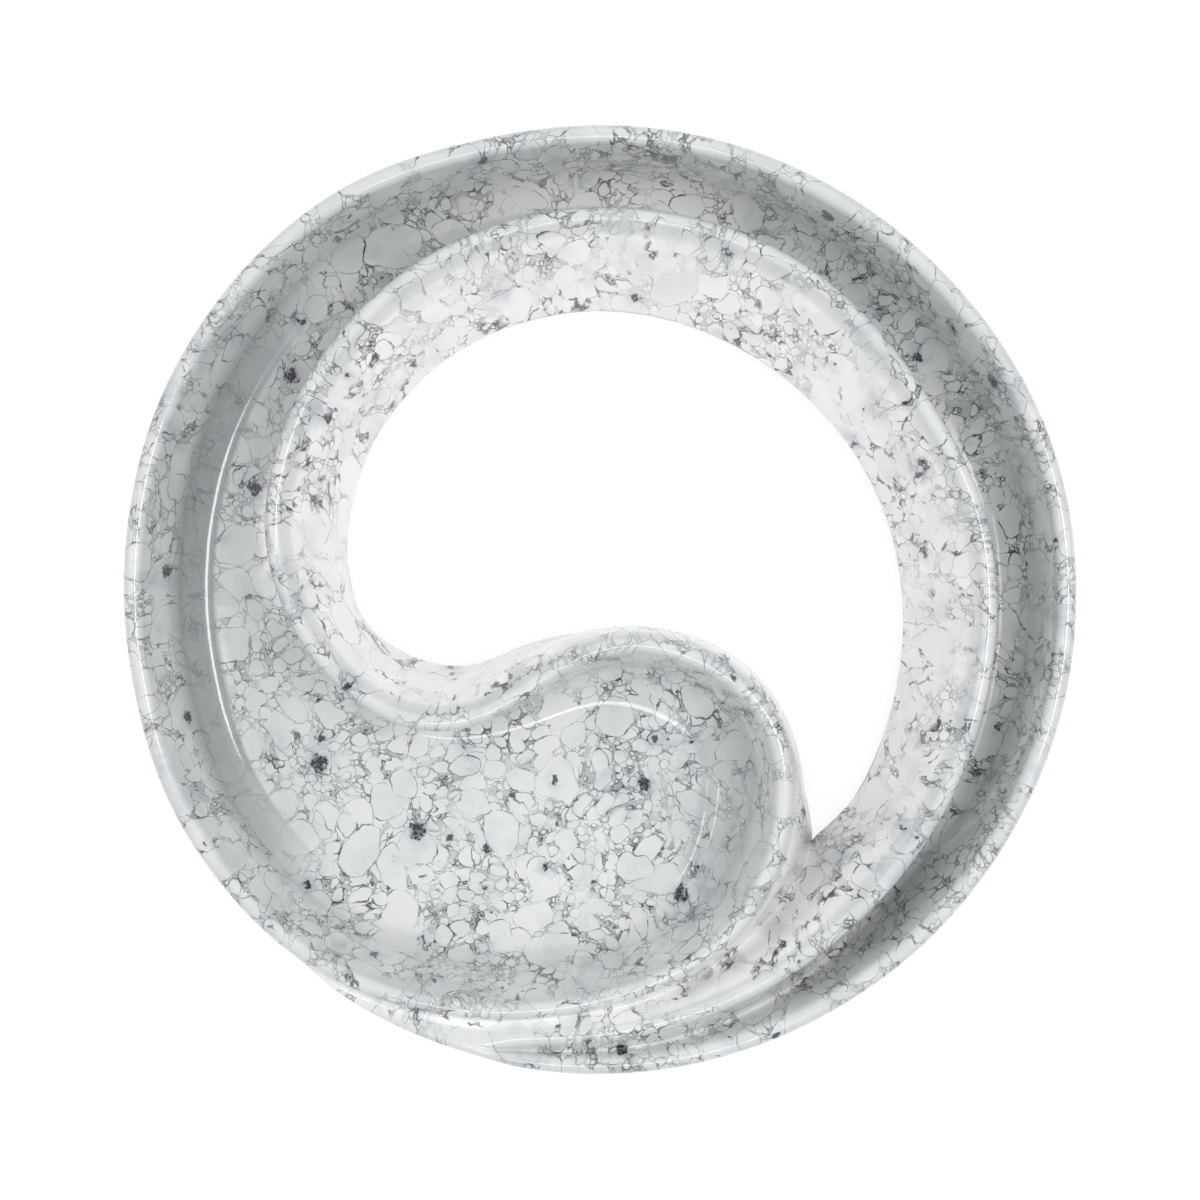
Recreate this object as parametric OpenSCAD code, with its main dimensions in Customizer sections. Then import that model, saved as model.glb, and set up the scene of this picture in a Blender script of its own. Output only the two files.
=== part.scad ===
// A glazed ceramic bowl shaped like a comma wound round a large hole.
// A round basin at the front runs into a channel that circles the hole
// and narrows to a tail, which lies along the outside of the basin.
// The origin is on the table below the middle of the ring, with X to the
// right and Y away from the basin, so the basin lies on the -Y side.

/* [Bowl] */
// Radius of the ring over its outer rim
outer_radius = 200; // [180:5:230]
// Height from the table to the top of the rims
height = 76; // [70:1:90]

/* [Walls] */
// Thickness of the walls at the top, which is the width of the round rims
wall = 8; // [7:0.25:8.5]
// How far the outer wall and the basin's wall lean outward as they rise
wall_lean = 10; // [7:0.5:11]
// Thickness of the channel's inner wall at its base
inner_base = 6; // [5:0.25:7]
// Thickness of the sloping skirt round the hole, at its lower edge
skirt_base = 7; // [5:0.5:9]

/* [Floor] */
// Thickness of the floor slab
floor_thickness = 7; // [5:0.5:9]

/* [Foot] */
// Height of the bare clay foot rings
foot_height = 6; // [4:0.5:8]
// Width of the foot rings
foot_width = 10; // [9:0.5:12]
// How far the foot rings stand in from the edges above them
foot_inset = 1.5; // [0.5:0.25:3]

/* [Felt pads] */
// Thickness of the felt pads under the outer foot
pad_thickness = 2; // [1:0.25:3]
// Diameter of a felt pad
pad_diameter = 8; // [6:0.5:9]
// Number of felt pads
pad_count = 6; // [4:1:10]
// Where round the ring the first pad sits
pad_start = 15; // [0:5:45]

/* [Hidden] */
ceramic_nodes = [
    "floor_slab", "outer_wall", "basin_wall", "inner_wall", "hole_skirt", "tail_floor", "tail_tip",
    "outer_rim", "basin_rim", "inner_rim", "outer_foot", "hole_foot",
];
pad_nodes = [for (i = [1 : pad_count]) str("felt_pad_", i)];

// Levels, from the table up
foot_z = pad_thickness;
slab_z = foot_z + foot_height;
floor_z = slab_z + floor_thickness;
rim_radius = wall / 2;
seat_z = height - rim_radius;

// Places between two rows of a table, and round the half circle of a rim
steps = 3;
rim_steps = 8;

// The ring, from its right front round the back to its left. Each row is an
// angle, then shares of the outer radius: the outer rim, the inner rim, and
// the edge of the hole where the skirt comes down.
ring_shares = [
    [-48.6, 0.976, 0.8475, 0.7163],
    [-38, 0.976, 0.838, 0.716],
    [-26, 0.978, 0.829, 0.699],
    [-13, 0.982, 0.821, 0.684],
    [0, 0.984, 0.818, 0.673],
    [14, 0.988, 0.812, 0.664],
    [28, 0.986, 0.795, 0.654],
    [42, 0.981, 0.797, 0.645],
    [57, 0.980, 0.808, 0.640],
    [74, 0.981, 0.810, 0.641],
    [91, 0.981, 0.8075, 0.643],
    [107, 0.985, 0.800, 0.640],
    [120, 1.002, 0.7875, 0.636],
    [132, 1.006, 0.771, 0.627],
    [145, 1.003, 0.751, 0.614],
    [158, 0.998, 0.726, 0.592],
    [170, 0.989, 0.695, 0.570],
    [181, 0.983, 0.649, 0.541],
];

// The outer rim from the left to the front, where it turns in and becomes
// the basin's rim: an angle and a share of the outer radius.
left_shares = [
    [193, 0.980],
    [205, 0.983],
    [217, 0.978],
    [227, 0.971],
    [237, 0.953],
];

// The tail where its groove is open. Each row is an angle, then shares of
// the outer radius for the outer rim, the inner rim, the crease between tail
// and basin, and the basin's rim, then shares of the height for the crease
// and for the groove's floor.
tail_shares = [
    [-100, 0.9790, 0.922, 0.902, 0.877, 0.93, 0.94],
    [-92, 0.9795, 0.912, 0.872, 0.848, 0.88, 0.91],
    [-84, 0.9785, 0.901, 0.855, 0.820, 0.83, 0.87],
    [-76, 0.9770, 0.888, 0.829, 0.788, 0.75, 0.79],
    [-68, 0.9760, 0.875, 0.804, 0.748, 0.65, 0.67],
    [-60, 0.9750, 0.862, 0.7725, 0.688, 0.50, 0.51],
    [-53, 0.9755, 0.852, 0.741, 0.625, 0.30, 0.34],
];

// The solid end of the tail. Each row is an angle, then shares of the outer
// radius: the tail's outer rim, the crease, the foot of the basin's wall
// below the crease, and the basin's rim.
tip_shares = [
    [-114, 0.9765, 0.946, 0.901, 0.926],
    [-107, 0.9770, 0.926, 0.897, 0.903],
];

// The basin's rim from the corner of the hole round the right and the back
// to the left. Each row is X and Y of the rim, then X and Y of the wall's
// outside foot, as shares of the outer radius, and last the share of the
// wall's lean that its inside face has there.
basin_shares = [
    [0.3845, -0.445, 0.474, -0.537, 1],
    [0.3875, -0.3885, 0.461, -0.432, 1],
    [0.3675, -0.2805, 0.4205, -0.284, 1],
    [0.300, -0.185, 0.3467, -0.1655, 1],
    [0.2005, -0.122, 0.2237, -0.0895, 1],
    [0.084, -0.0935, 0.0895, -0.0682, 0.9],
    [-0.0367, -0.1155, -0.0559, -0.0738, 0.7],
    [-0.1365, -0.1745, -0.181, -0.103, 0.4],
    [-0.2445, -0.2375, -0.286, -0.142, 0.1],
    [-0.382, -0.254, -0.3735, -0.1375, 0],
    [-0.481, -0.214, -0.447, -0.1096, 0],
    [-0.564, -0.144, -0.5144, -0.056, 0],
];
// Rows of that table up to where the channel's inner wall begins
basin_wall_rows = 9;

// How the tail rises out of the outer wall: an angle, the share of the
// tail's full width, and the share of the height that its top reaches.
root_shares = [
    [-133, 0, 0.78],
    [-123, 0.45, 0.88],
    [-114, 1, 0.947],
];

function polar(angle, radius) = radius * [cos(angle), sin(angle)];
function flipped(list) = [for (i = [len(list) - 1 : -1 : 0]) list[i]];
function at(point, z) = [point.x, point.y, z];
function unit(v) = v / norm(v);
function mix(a, b, share) = a + (b - a) * share;
// The point at height z on the line from one point in space to another
function level(low, high, z) = mix(low, high, (z - low.z) / (high.z - low.z));

// A row of the loop that the rims run round. It holds the rim's middle (x, y),
// the foot of the outside face (x, y), the knee of that face (x, y, z), the
// height on which the wall stands, and the share of the lean on its inside.
function row(rim, foot, knee, base_z, inside) =
    [rim.x, rim.y, foot.x, foot.y, knee.x, knee.y, knee.z, base_z, inside];
function rim_of(r) = [r[0], r[1]];
function foot_of(r) = [r[2], r[3]];
function knee_of(r) = [r[4], r[5], r[6]];
function base_of(r) = r[7];
function inside_of(r) = r[8];

function straight_row(rim, top, foot, base_z, inside) =
    row(rim, foot, mix(at(foot, slab_z), at(top, seat_z), 0.5), base_z, inside);
function outer_row(angle, share, base_z) = let (r = share * outer_radius) straight_row(
        polar(angle, r), polar(angle, r + rim_radius), polar(angle, r + rim_radius - wall_lean), base_z, 1);
function hole_row(rim, foot, inside) =
    straight_row(rim, rim + unit(foot - rim) * rim_radius, foot, floor_z, inside);
function crease_row(angle, rim_share, crease_share, foot_share, crease_z, base_z, inside) = row(
        polar(angle, rim_share * outer_radius), polar(angle, foot_share * outer_radius),
        at(polar(angle, crease_share * outer_radius), crease_z), base_z, inside);
function groove_z(share) = max(floor_z, share * height);

outer_rows = concat(
    [for (s = tip_shares) outer_row(s[0], s[1], seat_z)],
    [for (s = tail_shares) outer_row(s[0], s[1], groove_z(s[6]))],
    [for (s = ring_shares) outer_row(s[0], s[1], floor_z)],
    [for (s = left_shares) outer_row(s[0], s[1], floor_z)]
);
basin_rows = concat(
    [for (s = tip_shares) crease_row(s[0], s[4], s[2], s[3], seat_z, floor_z, 1)],
    [for (s = tail_shares) crease_row(s[0], s[4], s[3], s[3], s[5] * height, floor_z, 1)],
    [for (s = basin_shares)
        hole_row([s[0], s[1]] * outer_radius, [s[2], s[3]] * outer_radius, s[4])]
);
inner_rows = concat(
    [for (s = flipped(ring_shares)) crease_row(s[0], s[2], s[3], s[3], slab_z, floor_z, 0)],
    [for (s = flipped(tail_shares))
        crease_row(s[0], s[2], s[3], s[3], s[5] * height, groove_z(s[6]), 0)]
);

// A smooth curve through all the numbers of the rows. The channel and the
// basin lie on its left side all the way round.
function curve(a, b, c, d, t) =
    b + ((c - a) * t + (2 * a - 5 * b + 4 * c - d) * t * t + (3 * b - a - 3 * c + d) * t * t * t) / 2;
function smooth(rows) = [
    for (i = [0 : len(rows) - 2], j = [0 : steps - 1])
        curve(rows[max(i - 1, 0)], rows[i], rows[i + 1], rows[min(i + 2, len(rows) - 1)], j / steps),
    rows[len(rows) - 1],
];
line = smooth(concat(outer_rows, basin_rows, inner_rows));

// Places of the loop, counted along its line
tail_start = len(tip_shares) * steps;
ring_start = tail_start + len(tail_shares) * steps;
basin_start = len(outer_rows) * steps;
hole_corner = basin_start + ring_start;
inner_start = hole_corner + (basin_wall_rows - 1) * steps;
inner_corner = (len(outer_rows) + len(basin_rows) + len(ring_shares) - 1) * steps;
inner_tail_end = inner_corner + len(tail_shares) * steps;

function left(i) = let (
        t = rim_of(line[min(i + 1, len(line) - 1)]) - rim_of(line[max(i - 1, 0)])
    ) unit([-t.y, t.x]);
// A point beside the rim's middle, toward the channel where d is positive
function beside(i, d, z) = at(rim_of(line[i]) + left(i) * d, z);

// Cross-sections at a place of the loop. Each starts low on the channel's
// side and runs under, up the outside and back over the top.
function inside_foot(i) = beside(i, rim_radius + wall_lean * inside_of(line[i]), floor_z);
function outside_foot(i) = at(foot_of(line[i]), slab_z);
function outer_section(i) = let (z = base_of(line[i])) [
        level(inside_foot(i), beside(i, rim_radius, seat_z), z),
        level(outside_foot(i), beside(i, -rim_radius, seat_z), z),
        beside(i, -rim_radius, seat_z),
        beside(i, rim_radius, seat_z),
    ];
function basin_section(i) = [
        inside_foot(i),
        level(outside_foot(i), knee_of(line[i]), floor_z),
        knee_of(line[i]),
        beside(i, -rim_radius, seat_z),
        beside(i, rim_radius, seat_z),
    ];
function inner_section(i) = let (z = base_of(line[i])) [
        beside(i, rim_radius, z),
        beside(i, rim_radius - inner_base, z),
        beside(i, 0, seat_z),
        beside(i, rim_radius, seat_z),
    ];
// The skirt's lower edge is on the hole's foot, or in the crease at the tail.
function skirt_edge(i) = i > inner_corner
    ? knee_of(line[i])
    : outside_foot(i);
function skirt_section(i) = let (
        edge = skirt_edge(i),
        across = rim_of(line[i]) - [edge.x, edge.y],
        room = norm(across) + rim_radius - inner_base,
        back = unit(across) * min(skirt_base, room)
    ) [
        edge + at(back, 0),
        edge,
        beside(i, -rim_radius, seat_z),
        beside(i, 0, seat_z),
    ];
function rim_section(i) = [
    for (k = [0 : rim_steps])
        let (turn = 180 * k / rim_steps)
            beside(i, -rim_radius * cos(turn), seat_z + rim_radius * sin(turn))
];

// A solid through cross-sections that have the same number of corners
module loft(sections) {
    n = len(sections[0]);
    last = (len(sections) - 1) * n;
    sides = [
        for (i = [0 : len(sections) - 2], j = [0 : n - 1])
            let (a = i * n + j, b = i * n + (j + 1) % n)
                each [[a, b, b + n], [a, b + n, a + n]]
    ];
    start = [for (j = [n - 1 : -1 : 0]) j];
    end = [for (j = [0 : n - 1]) last + j];
    polyhedron([for (s = sections) each s], concat(sides, [start, end]));
}

// The tail's solid end: a low root that swells out of the outer wall, then
// the tip beside the basin's wall, up to where the groove opens
root_start = basin_start - (len(root_shares) - 1) * steps;
function root_section(i) = let (
        place = rim_of(line[i]),
        angle = atan2(place.y, place.x),
        wall_top = beside(i, -rim_radius, seat_z),
        foot = outside_foot(i),
        top_z = lookup(angle, [for (r = root_shares) [r[0], r[2] * height]]),
        swell = lookup(angle, [for (r = root_shares) [r[0], r[1]]]),
        edge = mix(norm([wall_top.x, wall_top.y]), tip_shares[0][1] * outer_radius + rim_radius, swell)
    ) [
        foot,
        at(polar(angle, max(edge - wall_lean, norm([foot.x, foot.y]))), slab_z),
        at(polar(angle, edge), top_z),
        level(foot, wall_top, top_z),
    ];
function tip_section(k) = let (crease = knee_of(line[basin_start + k])) [
        outside_foot(basin_start + k),
        outside_foot(k),
        beside(k, -rim_radius, seat_z),
        at(crease, seat_z),
    ];
tip_sections = concat(
    [for (i = [root_start + 1 : basin_start - 1]) root_section(i)],
    [for (k = [0 : tail_start]) tip_section(k)]
);

// The edges over the foot rings: round the outside, and round the hole
outer_feet = concat(
    [for (s = tip_sections) s[1]],
    [for (i = [tail_start + 1 : root_start]) outside_foot(i)]
);
outer_shares = concat(
    [for (s = tip_shares) [s[0], s[1]]],
    [for (s = tail_shares) [s[0], s[1]]],
    [for (s = ring_shares) [s[0], s[1]]],
    left_shares
);

module floor_slab() {
    outside = [for (i = [ring_start : basin_start]) outer_section(i)[1]];
    crease = [for (i = [basin_start + 1 : inner_start]) basin_section(i)[1]];
    inside = [for (i = [inner_start : inner_corner]) inner_section(i)[1]];
    color("whitesmoke")
        translate([0, 0, slab_z])
            linear_extrude(floor_thickness)
                polygon([for (p = concat(outside, crease, inside)) [p.x, p.y]]);
}

module outer_wall() {
    color("white") loft([for (i = [tail_start : basin_start]) outer_section(i)]);
}

module basin_wall() {
    color("white") loft([for (i = [basin_start : inner_start]) basin_section(i)]);
}

module inner_wall() {
    color("white") loft([for (i = [inner_start : inner_tail_end]) inner_section(i)]);
}

module hole_skirt() {
    color("ghostwhite") loft([for (i = [inner_start : inner_tail_end]) skirt_section(i)]);
}

// The groove's rising floor, under the walls of the tail
module tail_floor() {
    sections = [
        for (k = [0 : ring_start - tail_start])
            let (i = tail_start + k, j = inner_tail_end - k)
                [
                    at(inner_section(j)[1], slab_z),
                    outside_foot(i),
                    outer_section(i)[1],
                    inner_section(j)[1],
                ]
    ];
    color("whitesmoke") loft(sections);
}

module tail_tip() {
    color("white") loft(tip_sections);
}

module outer_rim() {
    color("white") loft([for (i = [0 : basin_start]) rim_section(i)]);
}

module basin_rim() {
    color("white") loft([for (i = [basin_start : inner_start]) rim_section(i)]);
}

module inner_rim() {
    color("white") loft([for (i = [inner_start : inner_tail_end]) rim_section(i)]);
}

// A flat ring between two outlines, standing on the pads' level
module foot_ring(outline, cut) {
    color("tan")
        translate([0, 0, foot_z])
            linear_extrude(foot_height)
                difference() {
                    polygon(outline);
                    polygon(cut);
                }
}

function toward_middle(p, d) = let (v = [p.x, p.y]) v - unit(v) * d;
module outer_foot() {
    foot_ring(
        [for (p = outer_feet) toward_middle(p, foot_inset)],
        [for (p = outer_feet) toward_middle(p, foot_inset + foot_width)]
    );
}

function toward_rim(i, d) = let (foot = foot_of(line[i])) foot + unit(rim_of(line[i]) - foot) * d;
module hole_foot() {
    foot_ring(
        [for (i = [hole_corner : inner_corner]) toward_rim(i, foot_inset + foot_width)],
        [for (i = [hole_corner : inner_corner]) toward_rim(i, foot_inset)]
    );
}

// Felt pads in the middle of the outer foot's width
module felt_pad(i) {
    turn = pad_start + (i - 1) * 360 / pad_count;
    angle = turn > left_shares[len(left_shares) - 1][0] ? turn - 360 : turn;
    rim_middle = lookup(angle, outer_shares) * outer_radius;
    color("dimgray")
        translate(polar(angle, rim_middle + rim_radius - wall_lean - foot_inset - foot_width / 2))
            cylinder(d = pad_diameter, h = pad_thickness, $fn = 32);
}

floor_slab();
outer_wall();
basin_wall();
inner_wall();
hole_skirt();
tail_floor();
tail_tip();
outer_rim();
basin_rim();
inner_rim();
outer_foot();
hole_foot();
for (i = [1 : pad_count])
    felt_pad(i);
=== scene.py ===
"""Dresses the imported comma-shaped bowl: a glazed body, bare foot rings, felt pads, floor, lights and camera.

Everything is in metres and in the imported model's frame: +Z up, the table at zero, the basin on the -Y side.
"""
import logging
import math
from dataclasses import dataclass, field, fields
from enum import Enum

import bmesh
import bpy
import numpy as np
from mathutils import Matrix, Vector


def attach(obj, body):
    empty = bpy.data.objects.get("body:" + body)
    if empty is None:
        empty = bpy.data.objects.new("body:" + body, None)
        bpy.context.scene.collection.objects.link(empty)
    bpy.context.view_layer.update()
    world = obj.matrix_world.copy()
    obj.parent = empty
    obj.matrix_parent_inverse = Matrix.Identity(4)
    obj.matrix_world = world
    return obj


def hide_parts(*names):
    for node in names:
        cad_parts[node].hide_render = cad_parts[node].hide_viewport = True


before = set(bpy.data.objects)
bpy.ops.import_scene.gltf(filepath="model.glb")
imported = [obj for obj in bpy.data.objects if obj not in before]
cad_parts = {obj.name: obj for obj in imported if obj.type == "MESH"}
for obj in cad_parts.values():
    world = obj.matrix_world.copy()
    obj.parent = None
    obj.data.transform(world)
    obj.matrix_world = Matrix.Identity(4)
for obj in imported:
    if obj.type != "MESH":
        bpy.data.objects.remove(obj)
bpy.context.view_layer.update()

log = logging.getLogger("bowl")

MM = 0.001
RIM_HEIGHT = 76 * MM
# How high the camera hangs above the rims.
CAMERA_HEIGHT = 1.05


# Lines and profiles


def chords(points: np.ndarray) -> np.ndarray:
    """Finds how far along a line each of its points lies."""
    steps = np.linalg.norm(np.diff(points, axis=0), axis=1)
    return np.concatenate([[0.0], np.cumsum(steps)])


def spline(knots: np.ndarray, values: np.ndarray, places: np.ndarray) -> np.ndarray:
    """Runs a natural cubic spline through values.

    Args:
        knots: Where each value lies, rising.
        values: One row of numbers for each knot.
        places: Where the spline is read.

    Returns:
        One row of numbers for each place.
    """
    values = np.asarray(values, float).reshape(len(knots), -1)
    gaps = np.diff(knots)
    count = len(knots)
    system = np.eye(count)
    right = np.zeros_like(values)
    for k in range(1, count - 1):
        system[k, k - 1 : k + 2] = [gaps[k - 1], 2 * (gaps[k - 1] + gaps[k]), gaps[k]]
        slope_after = (values[k + 1] - values[k]) / gaps[k]
        slope_before = (values[k] - values[k - 1]) / gaps[k - 1]
        right[k] = 6 * (slope_after - slope_before)
    bend = np.linalg.solve(system, right)
    span = np.clip(np.searchsorted(knots, places, side="right") - 1, 0, count - 2)
    gap = gaps[span][:, None]
    after = (places - knots[span])[:, None] / gap
    before = 1 - after
    straight = before * values[span] + after * values[span + 1]
    curve = (before**3 - before) * bend[span] + (after**3 - after) * bend[span + 1]
    return straight + curve * gap**2 / 6


def between(knots: np.ndarray, steps: int) -> np.ndarray:
    """Lists the knots with evenly spaced places between each two.

    Args:
        knots: The rising knots.
        steps: Places to each gap, the knot at its start included.

    Returns:
        The places, the last knot included.
    """
    shares = np.arange(steps) / steps
    inner = (knots[:-1, None] + np.diff(knots)[:, None] * shares).ravel()
    return np.concatenate([inner, knots[-1:]])


def softened(values: np.ndarray, reach: float) -> np.ndarray:
    """Smooths a list of numbers with a bell curve, its ends kept level.

    Args:
        values: The numbers, evenly spaced.
        reach: The bell's width, in places.

    Returns:
        The smoothed numbers.
    """
    half = int(3 * reach)
    weights = np.exp(-0.5 * (np.arange(-half, half + 1) / reach) ** 2)
    padded = np.concatenate([np.full(half, values[0]), values, np.full(half, values[-1])])
    return np.convolve(padded, weights / weights.sum(), mode="valid")


def along(a: np.ndarray, b: np.ndarray, shares: np.ndarray) -> np.ndarray:
    """Places points on the straight lines from points a to points b."""
    return a[:, None, :] + (b - a)[:, None, :] * np.asarray(shares)[None, :, None]


def rounding(a: np.ndarray, corner: np.ndarray, b: np.ndarray, count: int) -> np.ndarray:
    """Rounds corners with circular arcs that touch both their sides.

    Args:
        a: Where each arc starts, one a row, at one distance from the corner.
        corner: The sharp corners.
        b: Where each arc ends, at the same distance.
        count: Points on each arc, both ends included.

    Returns:
        An array of arcs, points and coordinates.
    """
    before = unit(corner - a)
    after = unit(b - corner)
    weight = np.sqrt(np.clip((1 + (before * after).sum(1)) / 2, 0.05, 1))[:, None, None]
    t = np.linspace(0, 1, count)[None, :, None]
    first, middle, last = (1 - t) ** 2, 2 * t * (1 - t) * weight, t**2
    top = first * a[:, None] + middle * corner[:, None] + last * b[:, None]
    return top / (first + middle + last)


def curved(a: np.ndarray, b: np.ndarray, c: np.ndarray, d: np.ndarray, count: int) -> np.ndarray:
    """Places points on curves that leave a toward b and reach d from c.

    Args:
        a: Where each curve starts, one a row.
        b: What it leaves toward.
        c: What it comes from at its end.
        d: Where it ends.
        count: Points on each curve, its end left out.

    Returns:
        An array of curves, points and coordinates.
    """
    t = (np.arange(count) / count)[None, :, None]
    a, b, c, d = (points[:, None] for points in (a, b, c, d))
    return (1 - t) ** 3 * a + 3 * (1 - t) ** 2 * t * b + 3 * (1 - t) * t**2 * c + t**3 * d


def toward(start: np.ndarray, target: np.ndarray, distance: np.ndarray) -> np.ndarray:
    """Steps from points toward others, by at most the way there.

    Args:
        start: Where each step starts, one a row.
        target: What it goes toward.
        distance: How far each goes.

    Returns:
        The points that are reached.
    """
    way = target - start
    length = np.linalg.norm(way, axis=1)
    return start + way * (np.minimum(distance, length) / np.maximum(length, 1e-9))[:, None]


def unit(vectors: np.ndarray) -> np.ndarray:
    """Scales vectors to length one, and leaves those with no length."""
    length = np.linalg.norm(vectors, axis=-1, keepdims=True)
    return vectors / np.maximum(length, 1e-9)


def polar(angle: float, radius: float) -> tuple[float, float]:
    """Turns an angle in degrees and a radius into x and y."""
    turn = math.radians(angle)
    return radius * math.cos(turn), radius * math.sin(turn)


def smoothstep(low: float, high: float, value: np.ndarray) -> np.ndarray:
    """Rises smoothly from 0 at low to 1 at high."""
    t = np.clip((value - low) / (high - low), 0, 1)
    return t * t * (3 - 2 * t)


def plateau(value: np.ndarray, rise: float, full: float, fall: float, gone: float) -> np.ndarray:
    """Rises smoothly from 0 to 1 between two places and falls back between two others."""
    return smoothstep(rise, full, value) * (1 - smoothstep(fall, gone, value))


# The bowl's lines, as shares of its outer radius

# Angle, outer rim, inner rim and hole's edge of the ring, from its right
# front round the back to its left.
RING_ROWS = (
    (-48.6, 0.976, 0.8475, 0.7163),
    (-38, 0.976, 0.838, 0.716),
    (-26, 0.978, 0.829, 0.699),
    (-13, 0.982, 0.821, 0.684),
    (0, 0.984, 0.818, 0.673),
    (14, 0.988, 0.812, 0.664),
    (28, 0.986, 0.795, 0.654),
    (42, 0.981, 0.797, 0.645),
    (57, 0.980, 0.808, 0.640),
    (74, 0.981, 0.810, 0.641),
    (91, 0.981, 0.8075, 0.643),
    (107, 0.985, 0.800, 0.640),
    (120, 1.002, 0.7875, 0.636),
    (132, 1.006, 0.771, 0.627),
    (145, 1.003, 0.751, 0.614),
    (158, 0.998, 0.726, 0.592),
    (170, 0.989, 0.695, 0.570),
    (181, 0.983, 0.649, 0.541),
)
# Angle and rim from the left to the front, where the rim turns in.
LEFT_ROWS = ((193, 0.980), (205, 0.983), (217, 0.978), (227, 0.971), (237, 0.953))

# The tail and what lies beside it, from its root in the outer wall to the
# corner of the hole: angle, silhouette, radius of the outer bead, inner rim,
# crease, basin's rim, and heights of the crease, the crest and the groove's
# floor as shares of the rim's height.
TAIL_ROWS = (
    (-133, 0.9910, 0.010, 0.975, 0.9908, 0.971, 0.947, 0.947, 0.99),
    (-123, 0.9950, 0.010, 0.965, 0.9790, 0.953, 0.940, 0.955, 0.98),
    (-114, 0.9965, 0.010, 0.960, 0.9510, 0.926, 0.930, 0.975, 0.97),
    (-107, 0.9970, 0.011, 0.9565, 0.9270, 0.903, 0.925, 0.990, 0.965),
    (-100, 0.9985, 0.0155, 0.9350, 0.9000, 0.877, 0.915, 1.0, 0.94),
    (-92, 0.9995, 0.020, 0.9170, 0.8730, 0.848, 0.880, 1.0, 0.91),
    (-84, 0.9985, 0.020, 0.9020, 0.8540, 0.820, 0.830, 1.0, 0.87),
    (-76, 0.9970, 0.020, 0.8885, 0.8290, 0.788, 0.750, 1.0, 0.79),
    (-68, 0.9960, 0.020, 0.8755, 0.8040, 0.748, 0.650, 1.0, 0.67),
    (-60, 0.9950, 0.020, 0.8625, 0.7725, 0.688, 0.500, 1.0, 0.51),
    (-53, 0.9955, 0.020, 0.8520, 0.7410, 0.625, 0.300, 1.0, 0.34),
    (-48.6, 0.9960, 0.020, 0.8475, 0.7163, 0.589, 0.1053, 1.0, 0.25),
)
# The rows from which the tail has a groove, and on which it opens.
GROOVE_ROW = 3

# Rim x and y, then the wall's outside foot x and y, then the share of the
# lean on its inside, from the corner of the hole round the basin to the left.
HEAD_ROWS = (
    (0.3845, -0.445, 0.474, -0.537, 1),
    (0.3875, -0.3885, 0.461, -0.432, 1),
    (0.3675, -0.2805, 0.4205, -0.284, 1),
    (0.300, -0.185, 0.3467, -0.1655, 1),
    (0.2005, -0.122, 0.2237, -0.0895, 1),
    (0.084, -0.0935, 0.0895, -0.0682, 0.9),
    (-0.0367, -0.1155, -0.0559, -0.0738, 0.7),
    (-0.1365, -0.1745, -0.181, -0.103, 0.4),
    (-0.2445, -0.2375, -0.286, -0.142, 0.1),
    (-0.382, -0.254, -0.3735, -0.1375, 0),
    (-0.481, -0.214, -0.447, -0.1096, 0),
    (-0.564, -0.144, -0.5144, -0.056, 0),
)
# The head row from which the skirt is hollow beneath.
HOLLOW_ROW = 8

# How clear the glaze is on the outside of the outer wall, where it is 1 on the skirt
OUTER_CLEAR = 0.4

# Bearings in degrees where something starts, is full, begins to end and has ended: the walls that stand
# more upright, and the painted glow in the channel's fillets at the back and in the groove.
UPRIGHT = (-50, -20, 115, 170)
PAINTED_GLOW_BACK = (62, 78, 98, 122)
PAINTED_GLOW_GROOVE = (-88, -68, -56, -44)


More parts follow.
